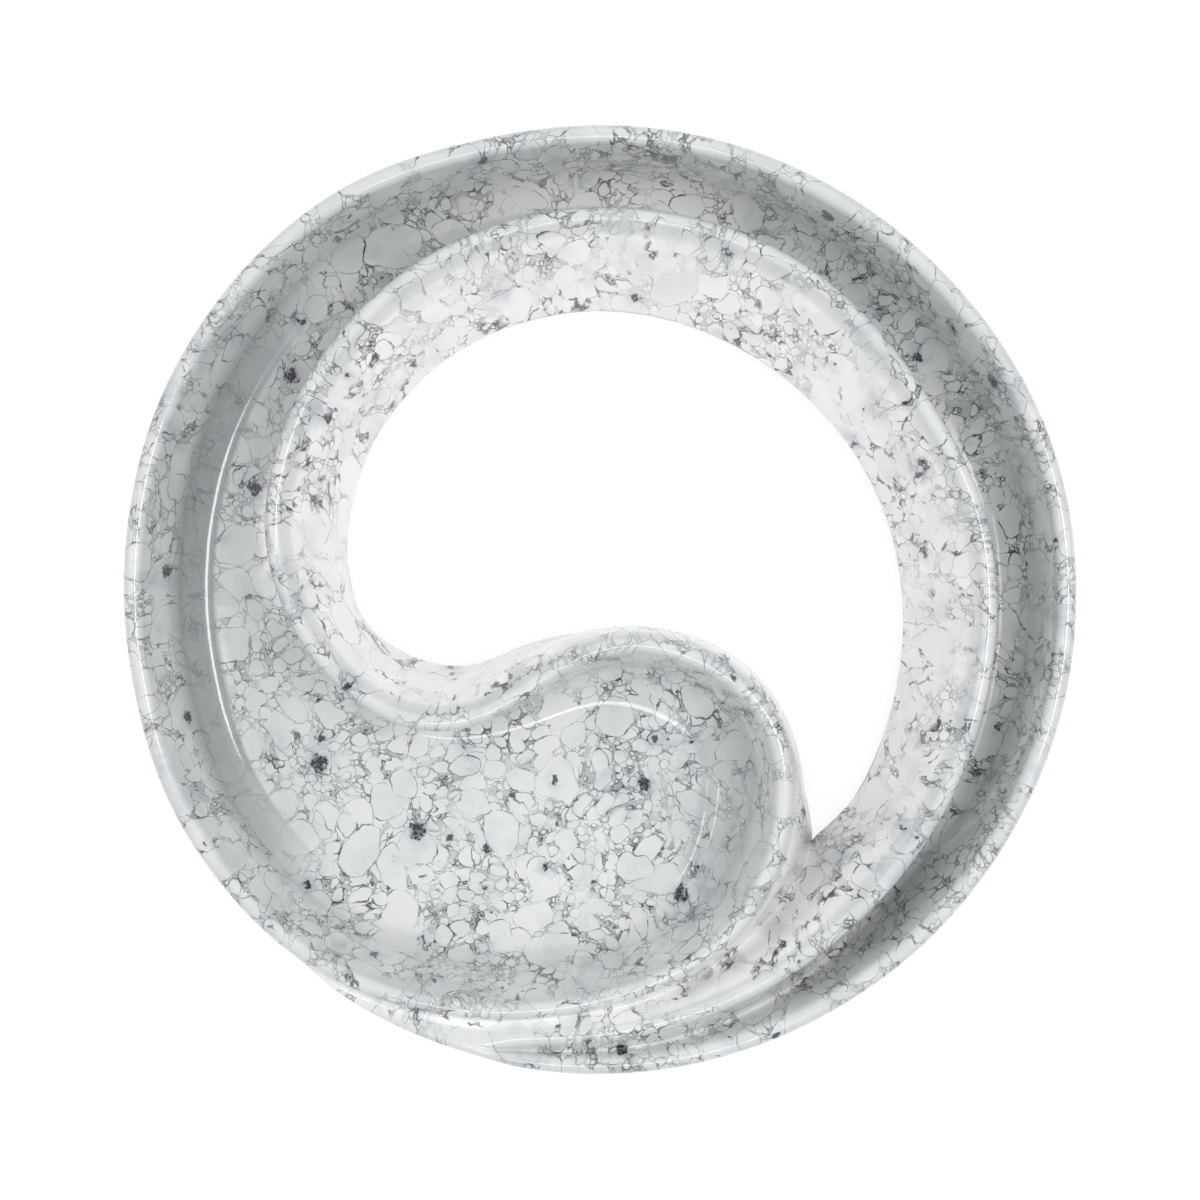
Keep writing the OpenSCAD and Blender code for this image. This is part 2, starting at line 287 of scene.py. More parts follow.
@dataclass
class WallProfile:
    """The section that every wall has, from the lower end of its outside over the rim to the floor.

    Attributes:
        face: Points on the outside face.
        bead: Points on the rounded rim.
        inside: Points on the inside face.
        fillet: Points on the fillet between inside face and floor.
        corner: Points on a rounded lower corner.
        fillet_share: The most of the way down the inside that the fillet may take.
        painted_shading_above: How much painted shading, dark or light, the point just above the fillet takes.
        painted_shading_shares: How much it takes at the fillet's upper and at its lower end.
        pool_floor: How much at the point where the fillet meets the floor.
    """

    face: int = 9
    bead: int = 17
    inside: int = 5
    fillet: int = 13
    corner: int = 6
    fillet_share: float = 0.92
    painted_shading_above: float = 0.35
    painted_shading_shares: tuple = (0.8, 1)
    pool_floor: float = 0.2

    @property
    def points(self) -> int:
        """Counts the points of one section."""
        return self.face + self.bead + self.inside + self.fillet

    def clearness(self, outside: float) -> np.ndarray:
        """Lists how clear the glaze is at each point of a section."""
        rest = self.bead + self.inside + self.fillet
        return np.concatenate([np.full(self.face, outside), np.zeros(rest)])

    def painted_shading_along(self) -> np.ndarray:
        """Lists how much painted shading, dark or light, each point of a section takes: only in the fillet."""
        rest = self.face + self.bead + self.inside
        # Painted shading along the fillet: painted shade in the corner, which becomes painted glow where it is
        # negated.
        fillet = np.linspace(*self.painted_shading_shares, self.fillet - 1)
        return np.concatenate([np.zeros(rest - 1), [self.painted_shading_above], fillet, [self.pool_floor]])

    def through(self, walls: "WallLine") -> np.ndarray:
        """Makes the section's points at each station of a wall.

        Args:
            walls: The wall's stations.

        Returns:
            An array of stations, points and coordinates.
        """
        w = walls
        seat = w.top - w.bead
        out = ((w.end[:, :2] - w.rim) * w.inward).sum(1), w.end[:, 2] - seat
        reach = np.maximum(np.hypot(*out), w.bead)
        start = np.arctan2(out[1], out[0]) % math.tau - np.arccos(w.bead / reach)
        start += (math.pi / 2 - start) * w.shoulder
        inside = w.bead + w.lean, w.floor - seat
        reach = np.maximum(np.hypot(*inside), w.bead)
        stop = np.arctan2(inside[1], inside[0]) + np.arccos(w.bead / reach)
        turn = start[:, None] + (stop - start)[:, None] * np.linspace(0, 1, self.bead)
        radius = w.bead[:, None]
        rounds = w.place(radius * np.cos(turn), seat[:, None] + radius * np.sin(turn))
        first, last = rounds[:, 0], rounds[:, -1]
        low = toward(w.end, first, w.end_gap)
        rise = np.linalg.norm(first - low, axis=1)
        onto = w.place((rise * np.sin(start) / 3)[:, None], (-rise * np.cos(start) / 3)[:, None])[:, 0]
        onto[:, :2] -= w.rim
        face = curved(low, low + (first - low) / 3, first - onto, first, self.face)
        corner = w.place(inside[0][:, None], w.floor[:, None])[:, 0]
        down = unit(corner - last)
        level = np.concatenate([w.inward, np.zeros((len(w.rim), 1))], axis=1)
        half = np.arccos(np.clip((down * level).sum(1), -1, 1)) / 2
        gap = np.minimum(w.fillet * np.tan(half), w.room)
        gap = np.minimum(gap, self.fillet_share * np.linalg.norm(corner - last, axis=1))[:, None]
        arc = rounding(corner - down * gap, corner, corner + level * gap, self.fillet)
        shares = np.arange(1, self.inside + 1) / (self.inside + 1)
        return np.concatenate([face, rounds, along(last, arc[:, 0], shares), arc], axis=1)


@dataclass
class WallLine:
    """Stations along a wall, with the numbers that its section takes at each.

    Attributes:
        rim: The rim's middle, x and y.
        inward: The direction toward the hollow side, x and y.
        bead: The rim's radius.
        end: The lower end of the outside face.
        end_gap: How far above that end the face starts, for a rounded corner.
        floor: The floor's height.
        lean: How far the inside face leans out by the floor.
        fillet: The fillet's radius.
        room: The most of the floor's width that the fillet may take.
        shoulder: How far the rim's rounding runs on into the outside face, from 0 to 1.
        top: The height of the rim.
    """

    rim: np.ndarray
    inward: np.ndarray
    bead: np.ndarray
    end: np.ndarray
    end_gap: np.ndarray
    floor: np.ndarray
    lean: np.ndarray
    fillet: np.ndarray
    room: np.ndarray
    shoulder: np.ndarray
    top: float

    def part(self, places: np.ndarray | slice) -> "WallLine":
        """Takes some of the stations."""
        kept = {f.name: getattr(self, f.name) for f in fields(self)}
        return WallLine(**{name: v if name == "top" else v[places] for name, v in kept.items()})

    def place(self, across: np.ndarray, height: np.ndarray) -> np.ndarray:
        """Turns distances across the wall and heights into points."""
        flat = self.rim[:, None, :] + self.inward[:, None, :] * across[:, :, None]
        return np.concatenate([flat, np.broadcast_to(height, across.shape)[:, :, None]], axis=2)


@dataclass
class GlazedBody:
    """The fired body: slab, walls, skirt, rims and tail in one glazed skin.

    The rims are one line of stations. It starts at the tail's root, runs round the outside to the left, turns
    in as the basin's rim, rounds the head and goes back along the channel's inner rim to the groove's end.

    Attributes:
        radius: The ring's outer radius, which the rows are shares of.
        top: The height of the rims.
        bead: The radius of the rounded rims.
        lean: How far the outer wall and the basin's wall lean outward.
        floor: The height of the floor.
        base: The height of the body's underside, on its foot rings.
        band: The width of the skirt's lower edge.
        lean_blur: Over how many rows the lean's changes are smoothed round the basin.
        basin_fillet: The radius between the outer wall and the floor.
        head_fillet: The radius where the basin's round end leans out most.
        channel_fillet: The radius where the basin's wall and the channel's inner wall stand upright.
        fillet_rows: Over how many rows the fillet widens on the way to the head.
        crease_gap: How far above the crease beside the tail the basin's face starts.
        crease_share: The share of that gap along the tail's first rows.
        crease_rows: The rows of the tail between which the gap grows to its full size.
        gap_rows: Over how many rows the gaps grow from the skin's corners, and from the tail's root.
        lip_gap: The same above the hole's edge.
        foot_gap: The same above the outer foot.
        valley: How far the valley between tail and basin is rounded on the tail's side.
        valley_after: The share of that on the basin's side.
        valley_room: The most of the tail's width that the valley's rounding takes.
        valley_ends: The shares of the tail's length between which that rounding ends.
        crest_share: How far from the tail's edge to the crease its crest lies.
        crest_round: How far the rounding of the tail's outer edge reaches.
        edge_share: The most of the way to the crest that it takes.
        bend_share: The share of the way to its neighbours that the crest's rounding takes.
        crest_points: Points on each of the roundings of the tail's top.
        groove_from: How far inside that edge the tail's groove opens.
        groove_half: Half the width into which the groove's points are squeezed on the solid tail.
        groove_shares: The most of the tail's top that each of those two takes.
        groove_sinks: Over how many rows the groove's floor sinks to the channel's.
        groove_opens: Over how many rows the solid tail gives way to the groove.
        far_share: How far from the groove to the crease the last points of the tail's top start.
        shoulder_rows: Over how many rows basin_shoulder comes in.
        basin_shoulder: How far the rims' rounding runs on into the outside face, from the basin's rim on.
        more_shoulder: How much further it does on the inner rim.
        upright_share: How much of their lean the more upright walls lose.
        least_gap: The least width that the channel is taken to have.
        narrow: The widths of the channel between which it turns into a groove.
        outer_lean: The most of the width that the outer wall leans over, in a groove and elsewhere.
        inner_lean: The same of the inner wall.
        straight: The widths between which the inner wall's lean ends.
        room_shares: The shares of the floor that the outer and the inner fillet may take.
        open_room: How much more room the fillet has where the channel opens into the basin.
        open_rows: Over how many rows it gets that.
        hollow_peak: How far from the inner rim's middle the hollow's highest line lies.
        slope_from: How far from the inner rim's middle the skirt's slope starts.
        hollow_roof: How far the hollow stays below the rims.
        hollow_side: How far from the inner rim's middle the hollow's upright side stands.
        hollow_rows: Over how many rows the hollow closes beyond the cusp.
        hollow_tail: The rows of the tail between which it comes in beneath.
        under_band: The width of the band of the underside beside the tail's foot.
        floor_rings: The widths of the rings inside the floor's edge, which keep its shading flat.
        weld: The distance within which points become one.
        painted_shade_facing: How far sideways a wall faces where the painted shade in its fillet starts, and
            where it is darkest.
        head_painted_shade: How much of the painted shade the basin's wall has at its round end and beside the
            tail.
        rim_wear: How much of the painted shade's grey the rims' tops take.
        rim_shade_from: How far below the rim's top, in its radii, that this painted shade is full.
        sharp_from: The angle from which an edge is sharp.
        steps: Stations from one row to the next.
        profile: The section that the walls have.
    """

    radius: float = 199.95 * MM
    top: float = 76 * MM
    bead: float = 4 * MM
    lean: float = 10 * MM
    floor: float = 15 * MM
    base: float = 8 * MM
    band: float = 7 * MM
    lean_blur: float = 0.4
    basin_fillet: float = 14 * MM
    head_fillet: float = 24 * MM
    channel_fillet: float = 6 * MM
    fillet_rows: int = 6
    crease_gap: float = 3.5 * MM
    crease_share: float = 0.2
    crease_rows: tuple = (4, 8)
    gap_rows: tuple = (0.6, 2)
    lip_gap: float = 2.2 * MM
    foot_gap: float = 1.2 * MM
    valley: float = 4.5 * MM
    valley_after: float = 0.8
    valley_room: float = 0.45
    valley_ends: tuple = (0.8, 0.98)
    crest_share: float = 0.5
    crest_round: float = 4.5 * MM
    edge_share: float = 0.55
    bend_share: float = 0.45
    crest_points: int = 12
    groove_from: float = 7 * MM
    groove_half: float = 0.5 * MM
    groove_shares: tuple = (0.42, 0.05)
    groove_sinks: float = 2.5
    groove_opens: float = 1.1
    far_share: float = 0.62
    shoulder_rows: int = 3
    basin_shoulder: float = 0.20
    more_shoulder: float = 0.12
    upright_share: float = 0.5
    least_gap: float = 0.3 * MM
    narrow: tuple = (14 * MM, 20 * MM)
    outer_lean: tuple = (0.25, 0.40)
    inner_lean: tuple = (0.62, 0.42)
    straight: tuple = (12 * MM, 30 * MM)
    room_shares: tuple = (0.68, 0.29)
    open_room: float = 20 * MM
    open_rows: float = 1.5
    hollow_peak: float = 2.5 * MM
    slope_from: float = 3.7 * MM
    hollow_roof: float = 11 * MM
    hollow_side: float = 2 * MM
    hollow_rows: float = 3.0
    hollow_tail: tuple = (4, 7)
    under_band: float = 12 * MM
    floor_rings: tuple = (0.8 * MM, 2 * MM)
    weld: float = 0.002 * MM
    painted_shade_facing: tuple = (0.58, 0.95)
    head_painted_shade: float = 0.45
    rim_wear: float = 0.24
    rim_shade_from: float = 0.4
    sharp_from: float = math.radians(40)
    steps: int = 8
    profile: WallProfile = field(default_factory=WallProfile)

    def __post_init__(self) -> None:
        """Counts where the parts of the line start, and runs the line through its rows."""
        tail, ring, left = len(TAIL_ROWS) - 1, len(RING_ROWS), len(LEFT_ROWS)
        self.cusp_at = tail * self.steps
        self.left_at = (tail + ring - 1) * self.steps
        self.root_at = (tail + ring + left - 2) * self.steps
        self.head_at = self.root_at + self.cusp_at
        self.hollow_at = self.head_at + HOLLOW_ROW * self.steps
        self.inner_left_at = self.head_at + len(HEAD_ROWS) * self.steps
        self.inner_cusp_at = self.inner_left_at + self.left_at - self.cusp_at
        self.line = self.stations()

    def opposite(self, outer: np.ndarray | int) -> np.ndarray | int:
        """Finds the inner rim's station across the channel from one of the outer rim."""
        return self.inner_cusp_at + self.cusp_at - outer

    def tail_values(self, column: int) -> np.ndarray:
        """Reads a column of the tail's rows at every station of the tail."""
        knots = np.arange(len(TAIL_ROWS), dtype=float)
        return spline(knots, [row[column] for row in TAIL_ROWS], between(knots, self.steps))[:, 0]

    def stations(self) -> WallLine:
        """Runs the rims' line through the rows.

        Returns:
            Every station. The outside faces end at the foot up to the tail's root, and at creases after it.
        """
        r = self.radius
        rims = [polar(t[0], (t[1] - t[2]) * r) for t in TAIL_ROWS[:-1]]
        rims += [polar(t[0], t[1] * r) for t in (*RING_ROWS, *LEFT_ROWS)]
        rims += [polar(t[0], t[5] * r) for t in TAIL_ROWS[2:-1]]
        rims += [(t[0] * r, t[1] * r) for t in HEAD_ROWS]
        rims += [polar(t[0], t[2] * r) for t in RING_ROWS[::-1]]
        rims += [polar(t[0], t[3] * r) for t in TAIL_ROWS[-2 : GROOVE_ROW - 1 : -1]]
        rims = np.array(rims)
        knots = chords(rims)
        rim = spline(knots, rims, between(knots, self.steps))
        run = np.gradient(rim, axis=0)
        inward = unit(np.stack([-run[:, 1], run[:, 0]], axis=1))
        count = len(rim)
        common = self.bead, self.floor, self.lean, self.basin_fillet, 1.0
        bead, floor, lean, fillet, room = (np.full(count, value) for value in common)
        tail = np.arange(self.cusp_at)
        bead[tail] = np.minimum(self.tail_values(2)[tail] * r, self.bead)
        groove = np.maximum(self.tail_values(8)[tail] * self.top, self.floor)
        grooved = tail[tail >= GROOVE_ROW * self.steps]
        low_from = self.cusp_at - self.groove_sinks * self.steps
        groove += (self.floor - groove[-1]) * smoothstep(low_from, self.cusp_at - 1, tail)
        floor[tail] = groove
        floor[self.opposite(grooved)] = groove[grooved]
        head_lean = between(np.array([t[4] for t in HEAD_ROWS] + [0.0]), self.steps)
        head_lean = softened(head_lean, self.lean_blur * self.steps)
        lean[self.head_at : self.inner_left_at + 1] = head_lean * self.lean
        lean[self.inner_left_at :] = 0
        bearing = np.degrees(np.unwrap(np.arctan2(rim[: self.root_at, 1], rim[: self.root_at, 0])))
        lean[: self.root_at] *= 1 - self.upright_share * plateau(bearing, *UPRIGHT)
        hollow = slice(self.head_at, count)
        leaning = self.head_fillet - self.channel_fillet
        fillet[hollow] = self.channel_fillet + leaning * lean[hollow] / self.lean
        widens = self.head_at - self.fillet_rows * self.steps
        near_head = smoothstep(widens, self.head_at, np.arange(self.head_at))
        fillet[: self.head_at] += (self.head_fillet - self.basin_fillet) * near_head
        self.fit_channel(rim, bead, floor, lean, room)
        end, end_gap = self.ends(rim, inward)
        index = np.arange(count)
        full = self.root_at + self.shoulder_rows * self.steps
        shoulder = smoothstep(self.root_at, full, index) * self.basin_shoulder
        shoulder += smoothstep(self.head_at, self.inner_left_at, index) * self.more_shoulder
        return WallLine(rim, inward, bead, end, end_gap, floor, lean, fillet, room, shoulder, self.top)

    def fit_channel(
        self, rim: np.ndarray, bead: np.ndarray, floor: np.ndarray, lean: np.ndarray, room: np.ndarray
    ) -> None:
        """Fits the walls' lean and the fillets into the channel and its narrowing groove.

        Args:
            rim: The rim's middle at each station.
            bead: The rim's radius.
            floor: The floor's height.
            lean: The lean of the inside face, changed in place.
            room: The width left for the fillet, changed in place.
        """
        outer = np.arange(GROOVE_ROW * self.steps, self.left_at + 1)
        inner = self.opposite(outer)
        gap = np.linalg.norm(rim[outer] - rim[inner], axis=1) - bead[outer] - bead[inner]
        gap = np.maximum(gap, self.least_gap)
        depth = (self.top - self.bead - floor[outer]) / (self.top - self.bead - self.floor)
        narrow = 1 - smoothstep(*self.narrow, gap)
        outer_most, inner_most = (b + (a - b) * narrow for a, b in (self.outer_lean, self.inner_lean))
        lean[outer] = np.minimum(lean[outer] * depth, outer_most * gap)
        lean[inner] = inner_most * gap * (1 - smoothstep(*self.straight, gap))
        width = gap - lean[outer] - lean[inner]
        opens = self.left_at - self.open_rows * self.steps
        spare = smoothstep(opens, self.left_at, outer) * self.open_room
        for side, share in zip((outer, inner), self.room_shares):
            room[side] = share * width + spare

    def ends(self, rim: np.ndarray, inward: np.ndarray) -> tuple[np.ndarray, np.ndarray]:
        """Runs the lower ends of the outside faces: foot, crease beside the tail, and the hole's edge.

        Args:
            rim: The rim's middle at each station.
            inward: The direction toward the hollow side.

        Returns:
            One point for each station, and how far above it the face starts.
        """
        r, z = self.radius, self.top
        self.foot = self.foot_line(rim)
        self.root = self.root_point(rim, inward)
        creases = [(*polar(t[0], t[4] * r), t[6] * z) for t in TAIL_ROWS[1:-1]]
        head = [(t[2] * r, t[3] * r, self.base) for t in HEAD_ROWS]
        hole = [(*polar(t[0], t[3] * r), self.base) for t in RING_ROWS[::-1]]
        basin_side = np.array([tuple(self.root), *creases, *head, *hole])
        inner_side = np.array([*head, *hole, *creases[: GROOVE_ROW - 2 : -1]])
        basin_side = spline(chords(basin_side), basin_side, between(chords(basin_side), self.steps))
        inner_side = spline(chords(inner_side), inner_side, between(chords(inner_side), self.steps))
        end = np.concatenate([self.foot[: self.root_at], basin_side, np.zeros((len(rim), 3))])[: len(rim)]
        round_hole = np.arange(self.head_at, self.inner_cusp_at + 1)
        share = ((round_hole - self.head_at) / (self.inner_cusp_at - self.head_at))[:, None]
        end[round_hole] = end[round_hole] * (1 - share) + inner_side[round_hole - self.head_at] * share
        end[round_hole, 2] = self.base
        tail = np.arange(GROOVE_ROW * self.steps, self.cusp_at)
        both = (end[self.root_at + tail] + inner_side[self.opposite(tail) - self.head_at]) / 2
        both[:, 2] = np.maximum(both[:, 2], self.base)
        end[self.root_at + tail] = end[self.opposite(tail)] = both
        index = np.arange(len(rim))
        gap = np.full(len(rim), self.foot_gap)
        gap[self.root_at :] = self.crease_gap
        along_tail = (index[self.root_at : self.head_at] - self.root_at) / self.steps
        grown = smoothstep(*self.crease_rows, along_tail)
        gap[self.root_at : self.head_at] *= self.crease_share + (1 - self.crease_share) * grown
        gap[self.head_at : self.inner_cusp_at] = self.lip_gap
        away = np.minimum(abs(index - self.head_at), abs(index - self.inner_cusp_at)) / self.steps
        from_root = (index - self.root_at) / self.steps
        from_corner, from_tail = self.gap_rows
        grown = smoothstep(0, from_corner, away) * smoothstep(0, from_tail, from_root)
        gap[self.root_at :] *= grown[self.root_at :]
        return end, gap

    def foot_line(self, rim: np.ndarray) -> np.ndarray:
        """Runs the outer foot round the whole bowl, as a radius that depends on the angle alone.

        Args:
            rim: The rim's middle at each station.

        Returns:
            The foot below each station from the tail's root to where it comes round again.
        """
        tail = [(t[0], t[1] * self.radius) for t in TAIL_ROWS[:-1]]
        ring = [(t[0], t[1] * self.radius + self.bead) for t in (*RING_ROWS, *LEFT_ROWS[:-2])]
        turn = 360
        rows = [(a - turn, v) for a, v in ring[-3:]] + tail + ring + [(a + turn, v) for a, v in tail[:3]]
        angles, edges = map(np.array, zip(*rows))
        station = rim[: self.root_at + 1]
        bearing = np.unwrap(np.arctan2(station[:, 1], station[:, 0]))
        reach = spline(angles, edges, np.degrees(bearing))[:, 0] - self.lean
        low = np.full(len(reach), self.base)
        return np.stack([reach * np.cos(bearing), reach * np.sin(bearing), low], axis=1)

    def root_point(self, rim: np.ndarray, inward: np.ndarray) -> np.ndarray:
        """Finds where the rim's rounding meets the outside face at the tail's root.

        Args:
            rim: The rim's middle at each station.
            inward: The direction toward the hollow side.

        Returns:
            The point from which the tail grows.
        """
        at = self.root_at
        out = float(((self.foot[at, :2] - rim[at]) * inward[at]).sum()), self.base - self.top + self.bead
        turn = math.atan2(out[1], out[0]) % math.tau - math.acos(self.bead / math.hypot(*out))
        flat = rim[at] + inward[at] * self.bead * math.cos(turn)
        return np.array([*flat, self.top - self.bead + self.bead * math.sin(turn)])

    def corner(self, level: np.ndarray, ends: np.ndarray, faces: np.ndarray) -> np.ndarray:
        """Rounds corners from level points of the underside to faces, without the arcs' last points."""
        gap = np.linalg.norm(faces - ends, axis=1)
        return rounding(toward(ends, level, gap), ends, faces, self.profile.corner)[:, :-1]

    def hollow(self, places: np.ndarray) -> np.ndarray:
        """Makes the hollow under the skirt, from its lower edge up, and down to the channel's inner wall.

        Args:
            places: Stations of the head, the inner rim or the tail's inner rim.

        Returns:
            An array of stations, three points and coordinates.
        """
        line = self.line.part(places)
        back = unit(line.rim - line.end[:, :2])
        width = np.linalg.norm(line.rim - line.end[:, :2], axis=1)
        low = np.full((len(places), 1), self.base)
        edge = np.concatenate([line.end[:, :2] + back * self.band, low], axis=1)
        spare = np.maximum(width - self.band - self.hollow_peak, 0) / np.maximum(width - self.slope_from, MM)
        peak = self.base + spare * (self.top - self.hollow_roof - self.base)
        apex = line.place(np.full((len(places), 1), -self.hollow_peak), peak[:, None])[:, 0]
        wall = line.place(np.full((len(places), 1), -self.hollow_side), low)[:, 0]
        opens = smoothstep(self.hollow_at, self.hollow_at + self.steps, places)
        closes = 1 - smoothstep(0, self.hollow_rows, (places - self.inner_cusp_at) / self.steps)
        share = (opens * closes)[:, None]
        return np.stack([edge, edge + (apex - edge) * share, edge + (wall - edge) * share], axis=1)

    def tail_end(self, count: int) -> np.ndarray:
        """Makes the tail's solid end, which swells out of the outer wall, from the foot over to the crease.

        Args:
            count: How many stations of the tail it covers.

        Returns:
            Two sections' worth of points for each station.
        """
        p = self.profile
        at = np.arange(count)
        crease = self.line.end[self.root_at + at]
        foot, gap = self.foot[at], np.full(count, self.foot_gap)
        bearing = np.arctan2(foot[:, 1], foot[:, 0])
        edge = self.tail_values(1)[at] * self.radius
        crest_z = self.tail_values(7)[at] * self.top
        grow = smoothstep(0, self.steps, at)[:, None]
        shoulder = np.stack([edge * np.cos(bearing), edge * np.sin(bearing), crest_z], axis=1)
        shoulder = crease + (shoulder - crease) * grow
        crest = shoulder + (crease - shoulder) * self.crest_share
        crest[:, 2] = shoulder[:, 2]
        side = np.minimum(self.crest_round, self.edge_share * np.linalg.norm(crest - shoulder, axis=1))
        first = toward(shoulder, foot, side)
        second = toward(shoulder, crest, side)
        sides = np.linalg.norm(crest - shoulder, axis=1), np.linalg.norm(crest - crease, axis=1)
        bend = self.bend_share * np.minimum(*sides)
        last = toward(crease, crest, self.line.end_gap[self.root_at + at])
        outer_edge = rounding(first, shoulder, second, self.crest_points)
        turns = toward(crest, shoulder, bend), crest, toward(crest, crease, bend)
        top_line = np.concatenate([outer_edge, rounding(*turns, self.crest_points), last[:, None]], axis=1)
        low = toward(foot, first, gap)
        spread = np.where(at == 0, p.face - 1, p.face)[:, None, None]
        face = low[:, None] + (first - low)[:, None] * np.arange(p.face)[None, :, None] / spread
        made = []
        for station, points in zip(face, top_line):
            run = chords(points)
            most = np.array(self.groove_shares) * run[-1]
            middle, pinch = np.minimum((self.groove_from, self.groove_half), most)
            far = run[-1] * self.far_share + middle * (1 - self.far_share)
            half = p.inside + p.fillet
            places = np.concatenate(
                [
                    np.linspace(0, middle - pinch, p.bead),
                    np.linspace(middle - pinch, middle + pinch, 2 * half + 2)[1:-1],
                    np.linspace(middle + pinch, far, p.bead),
                    np.linspace(far, run[-1], p.face + 1)[1:],
                ]
            )
            over = np.stack([np.interp(places, run, points[:, axis]) for axis in range(3)], axis=1)
            made.append(np.concatenate([station, over]))
        return np.array(made)

    def tail_columns(self) -> tuple[np.ndarray, np.ndarray, np.ndarray]:
        """Makes the tail and the basin's wall beside it, from the hollow below over both rims to the floor.

        Returns:
            An array of stations, points and coordinates, how clear the glaze is at each point of a section,
            and how much painted shading, dark or light, each point of every section takes.
        """
        p, s = self.profile, self.steps
        at = np.arange(self.cusp_at + 1)
        start = GROOVE_ROW * s
        outer = p.through(self.line.part(at))
        basin_line = self.line.part(self.root_at + at)
        basin = p.through(basin_line)
        tail = np.concatenate([outer, outer], axis=1)
        inner_places = self.opposite(at[start:])
        tail[start:, p.points :] = p.through(self.line.part(inner_places))[:, ::-1]
        solid = self.tail_end(start + s + s // 2)
        open_share = smoothstep(start, start + self.groove_opens * s, at[: len(solid)])[:, None, None]
        tail[: len(solid)] = solid * (1 - open_share) + tail[: len(solid)] * open_share
        joint = self.left_columns()[0][-1, p.corner - 1 : p.corner - 1 + p.face]
        fade = 1 - smoothstep(0, s, at[: s + 1])
        tail[: s + 1, : p.face] += (joint - tail[0, : p.face]) * fade[:, None, None]
        crease = rounding(tail[:, -1], basin_line.end, basin[:, 0], p.corner)[:, 1:-1]
        foot = self.foot[at]
        inside = toward(foot, np.zeros_like(foot) + [0, 0, self.base], np.full(len(at), self.under_band))
        under = np.repeat(inside[:, None], 3, axis=1)
        share = smoothstep(*self.hollow_tail, at[start:] / s)[:, None, None]
        under[start:] = under[start:] * (1 - share) + self.hollow(inner_places) * share
        low = self.corner(under[:, 2], foot, tail[:, 0])
        columns = np.concatenate([under, low, tail, crease, basin], axis=1)
        self.soften_valley(columns, 3 + p.corner - 1 + 2 * p.points + (p.corner - 2) // 2)
        outside = np.concatenate([np.zeros(2 + p.corner), p.clearness(OUTER_CLEAR)])
        clear = [outside, p.clearness(1.0)[::-1], np.ones(p.corner - 2), p.clearness(1.0)]
        pool = np.zeros(columns.shape[:2])
        # Painted shade in the fillet of the basin's wall beside the tail.
        pool[:, -p.points :] = p.painted_shading_along() * self.painted_shade(self.root_at + at, -1) * self.head_painted_shade
        groove = slice(2 + p.corner, 2 + p.corner + 2 * p.points)
        # Painted glow on the groove's floor, in place of the painted shade.
        pool[:, groove] = -np.concatenate([p.painted_shading_along(), p.painted_shading_along()[::-1]]) * self.painted_glow_at(at)
        return columns, np.concatenate(clear), pool

    def ring_columns(self) -> tuple[np.ndarray, np.ndarray, np.ndarray]:
        """Makes the ring's full section, from the outer foot over the channel to the hole and back below.

        Returns:
            The same three as tail_columns(), with each section's first point repeated as its last.
        """
        p = self.profile
        at = np.arange(self.cusp_at, self.left_at + 1)
        outer, inner_places = p.through(self.line.part(at)), self.opposite(at)
        inner = p.through(self.line.part(inner_places))[:, ::-1]
        hollow = self.hollow(inner_places)
        lip = self.corner(hollow[:, 0], self.line.end[inner_places], inner[:, -1])[:, ::-1]
        foot = self.corner(hollow[:, 2], self.foot[at], outer[:, 0])
        columns = np.concatenate([hollow[:, 2:], foot, outer, inner, lip, hollow], axis=1)
        lip_clear = [p.clearness(1.0)[::-1], np.ones(p.corner - 1), np.zeros(3)]
        clear = [np.zeros(p.corner), p.clearness(OUTER_CLEAR), *lip_clear]
        pool = np.zeros(columns.shape[:2])
        # Painted shade in the outer wall's fillet where it faces sideways, less the painted glow at the back
        # and in the groove.
        pool[:, p.corner : p.corner + p.points] = p.painted_shading_along() * (self.painted_shade(at, 1) - self.painted_glow_at(at))
        return columns, np.concatenate(clear), pool

    def left_columns(self) -> tuple[np.ndarray, np.ndarray, np.ndarray]:
        """Makes the outer wall on the left, from its foot to the basin's floor.

        Returns:
            The same three as tail_columns().
        """
        p = self.profile
        at = np.arange(self.left_at, self.root_at + 1)
        walls = self.line.part(at)
        walls.end = self.foot[at]
        walls.end_gap = np.full(len(at), self.foot_gap)
        outer = p.through(walls)
        middle = np.zeros_like(walls.end) + [0, 0, self.base]
        columns = np.concatenate([self.corner(middle, walls.end, outer[:, 0]), outer], axis=1)
        pool = np.zeros(columns.shape[:2])
        # Painted shade in the left wall's fillet, darker where the wall faces sideways.
        pool[:, p.corner - 1 :] = p.painted_shading_along() * self.painted_shade(at, 1)
        return columns, np.concatenate([np.zeros(p.corner - 1), p.clearness(OUTER_CLEAR)]), pool

    def head_columns(self) -> tuple[np.ndarray, np.ndarray, np.ndarray]:
        """Makes the basin's wall round its head, from the hole's edge to the basin's floor.

        Returns:
            The same three as tail_columns().
        """
        p = self.profile
        at = np.arange(self.head_at, self.inner_left_at + 1)
        wall = p.through(self.line.part(at))
        hollow = self.hollow(at)
        lip = self.corner(hollow[:, 0], self.line.end[at], wall[:, 0])
        columns = np.concatenate([hollow[:, ::-1], lip, wall], axis=1)
        pool = np.zeros(columns.shape[:2])
        # Painted shade in the fillet of the basin's round end.
        pool[:, -p.points :] = p.painted_shading_along() * self.painted_shade(at, -1) * self.head_painted_shade
        return columns, np.concatenate([np.zeros(3), np.ones(p.corner - 1), p.clearness(1.0)]), pool

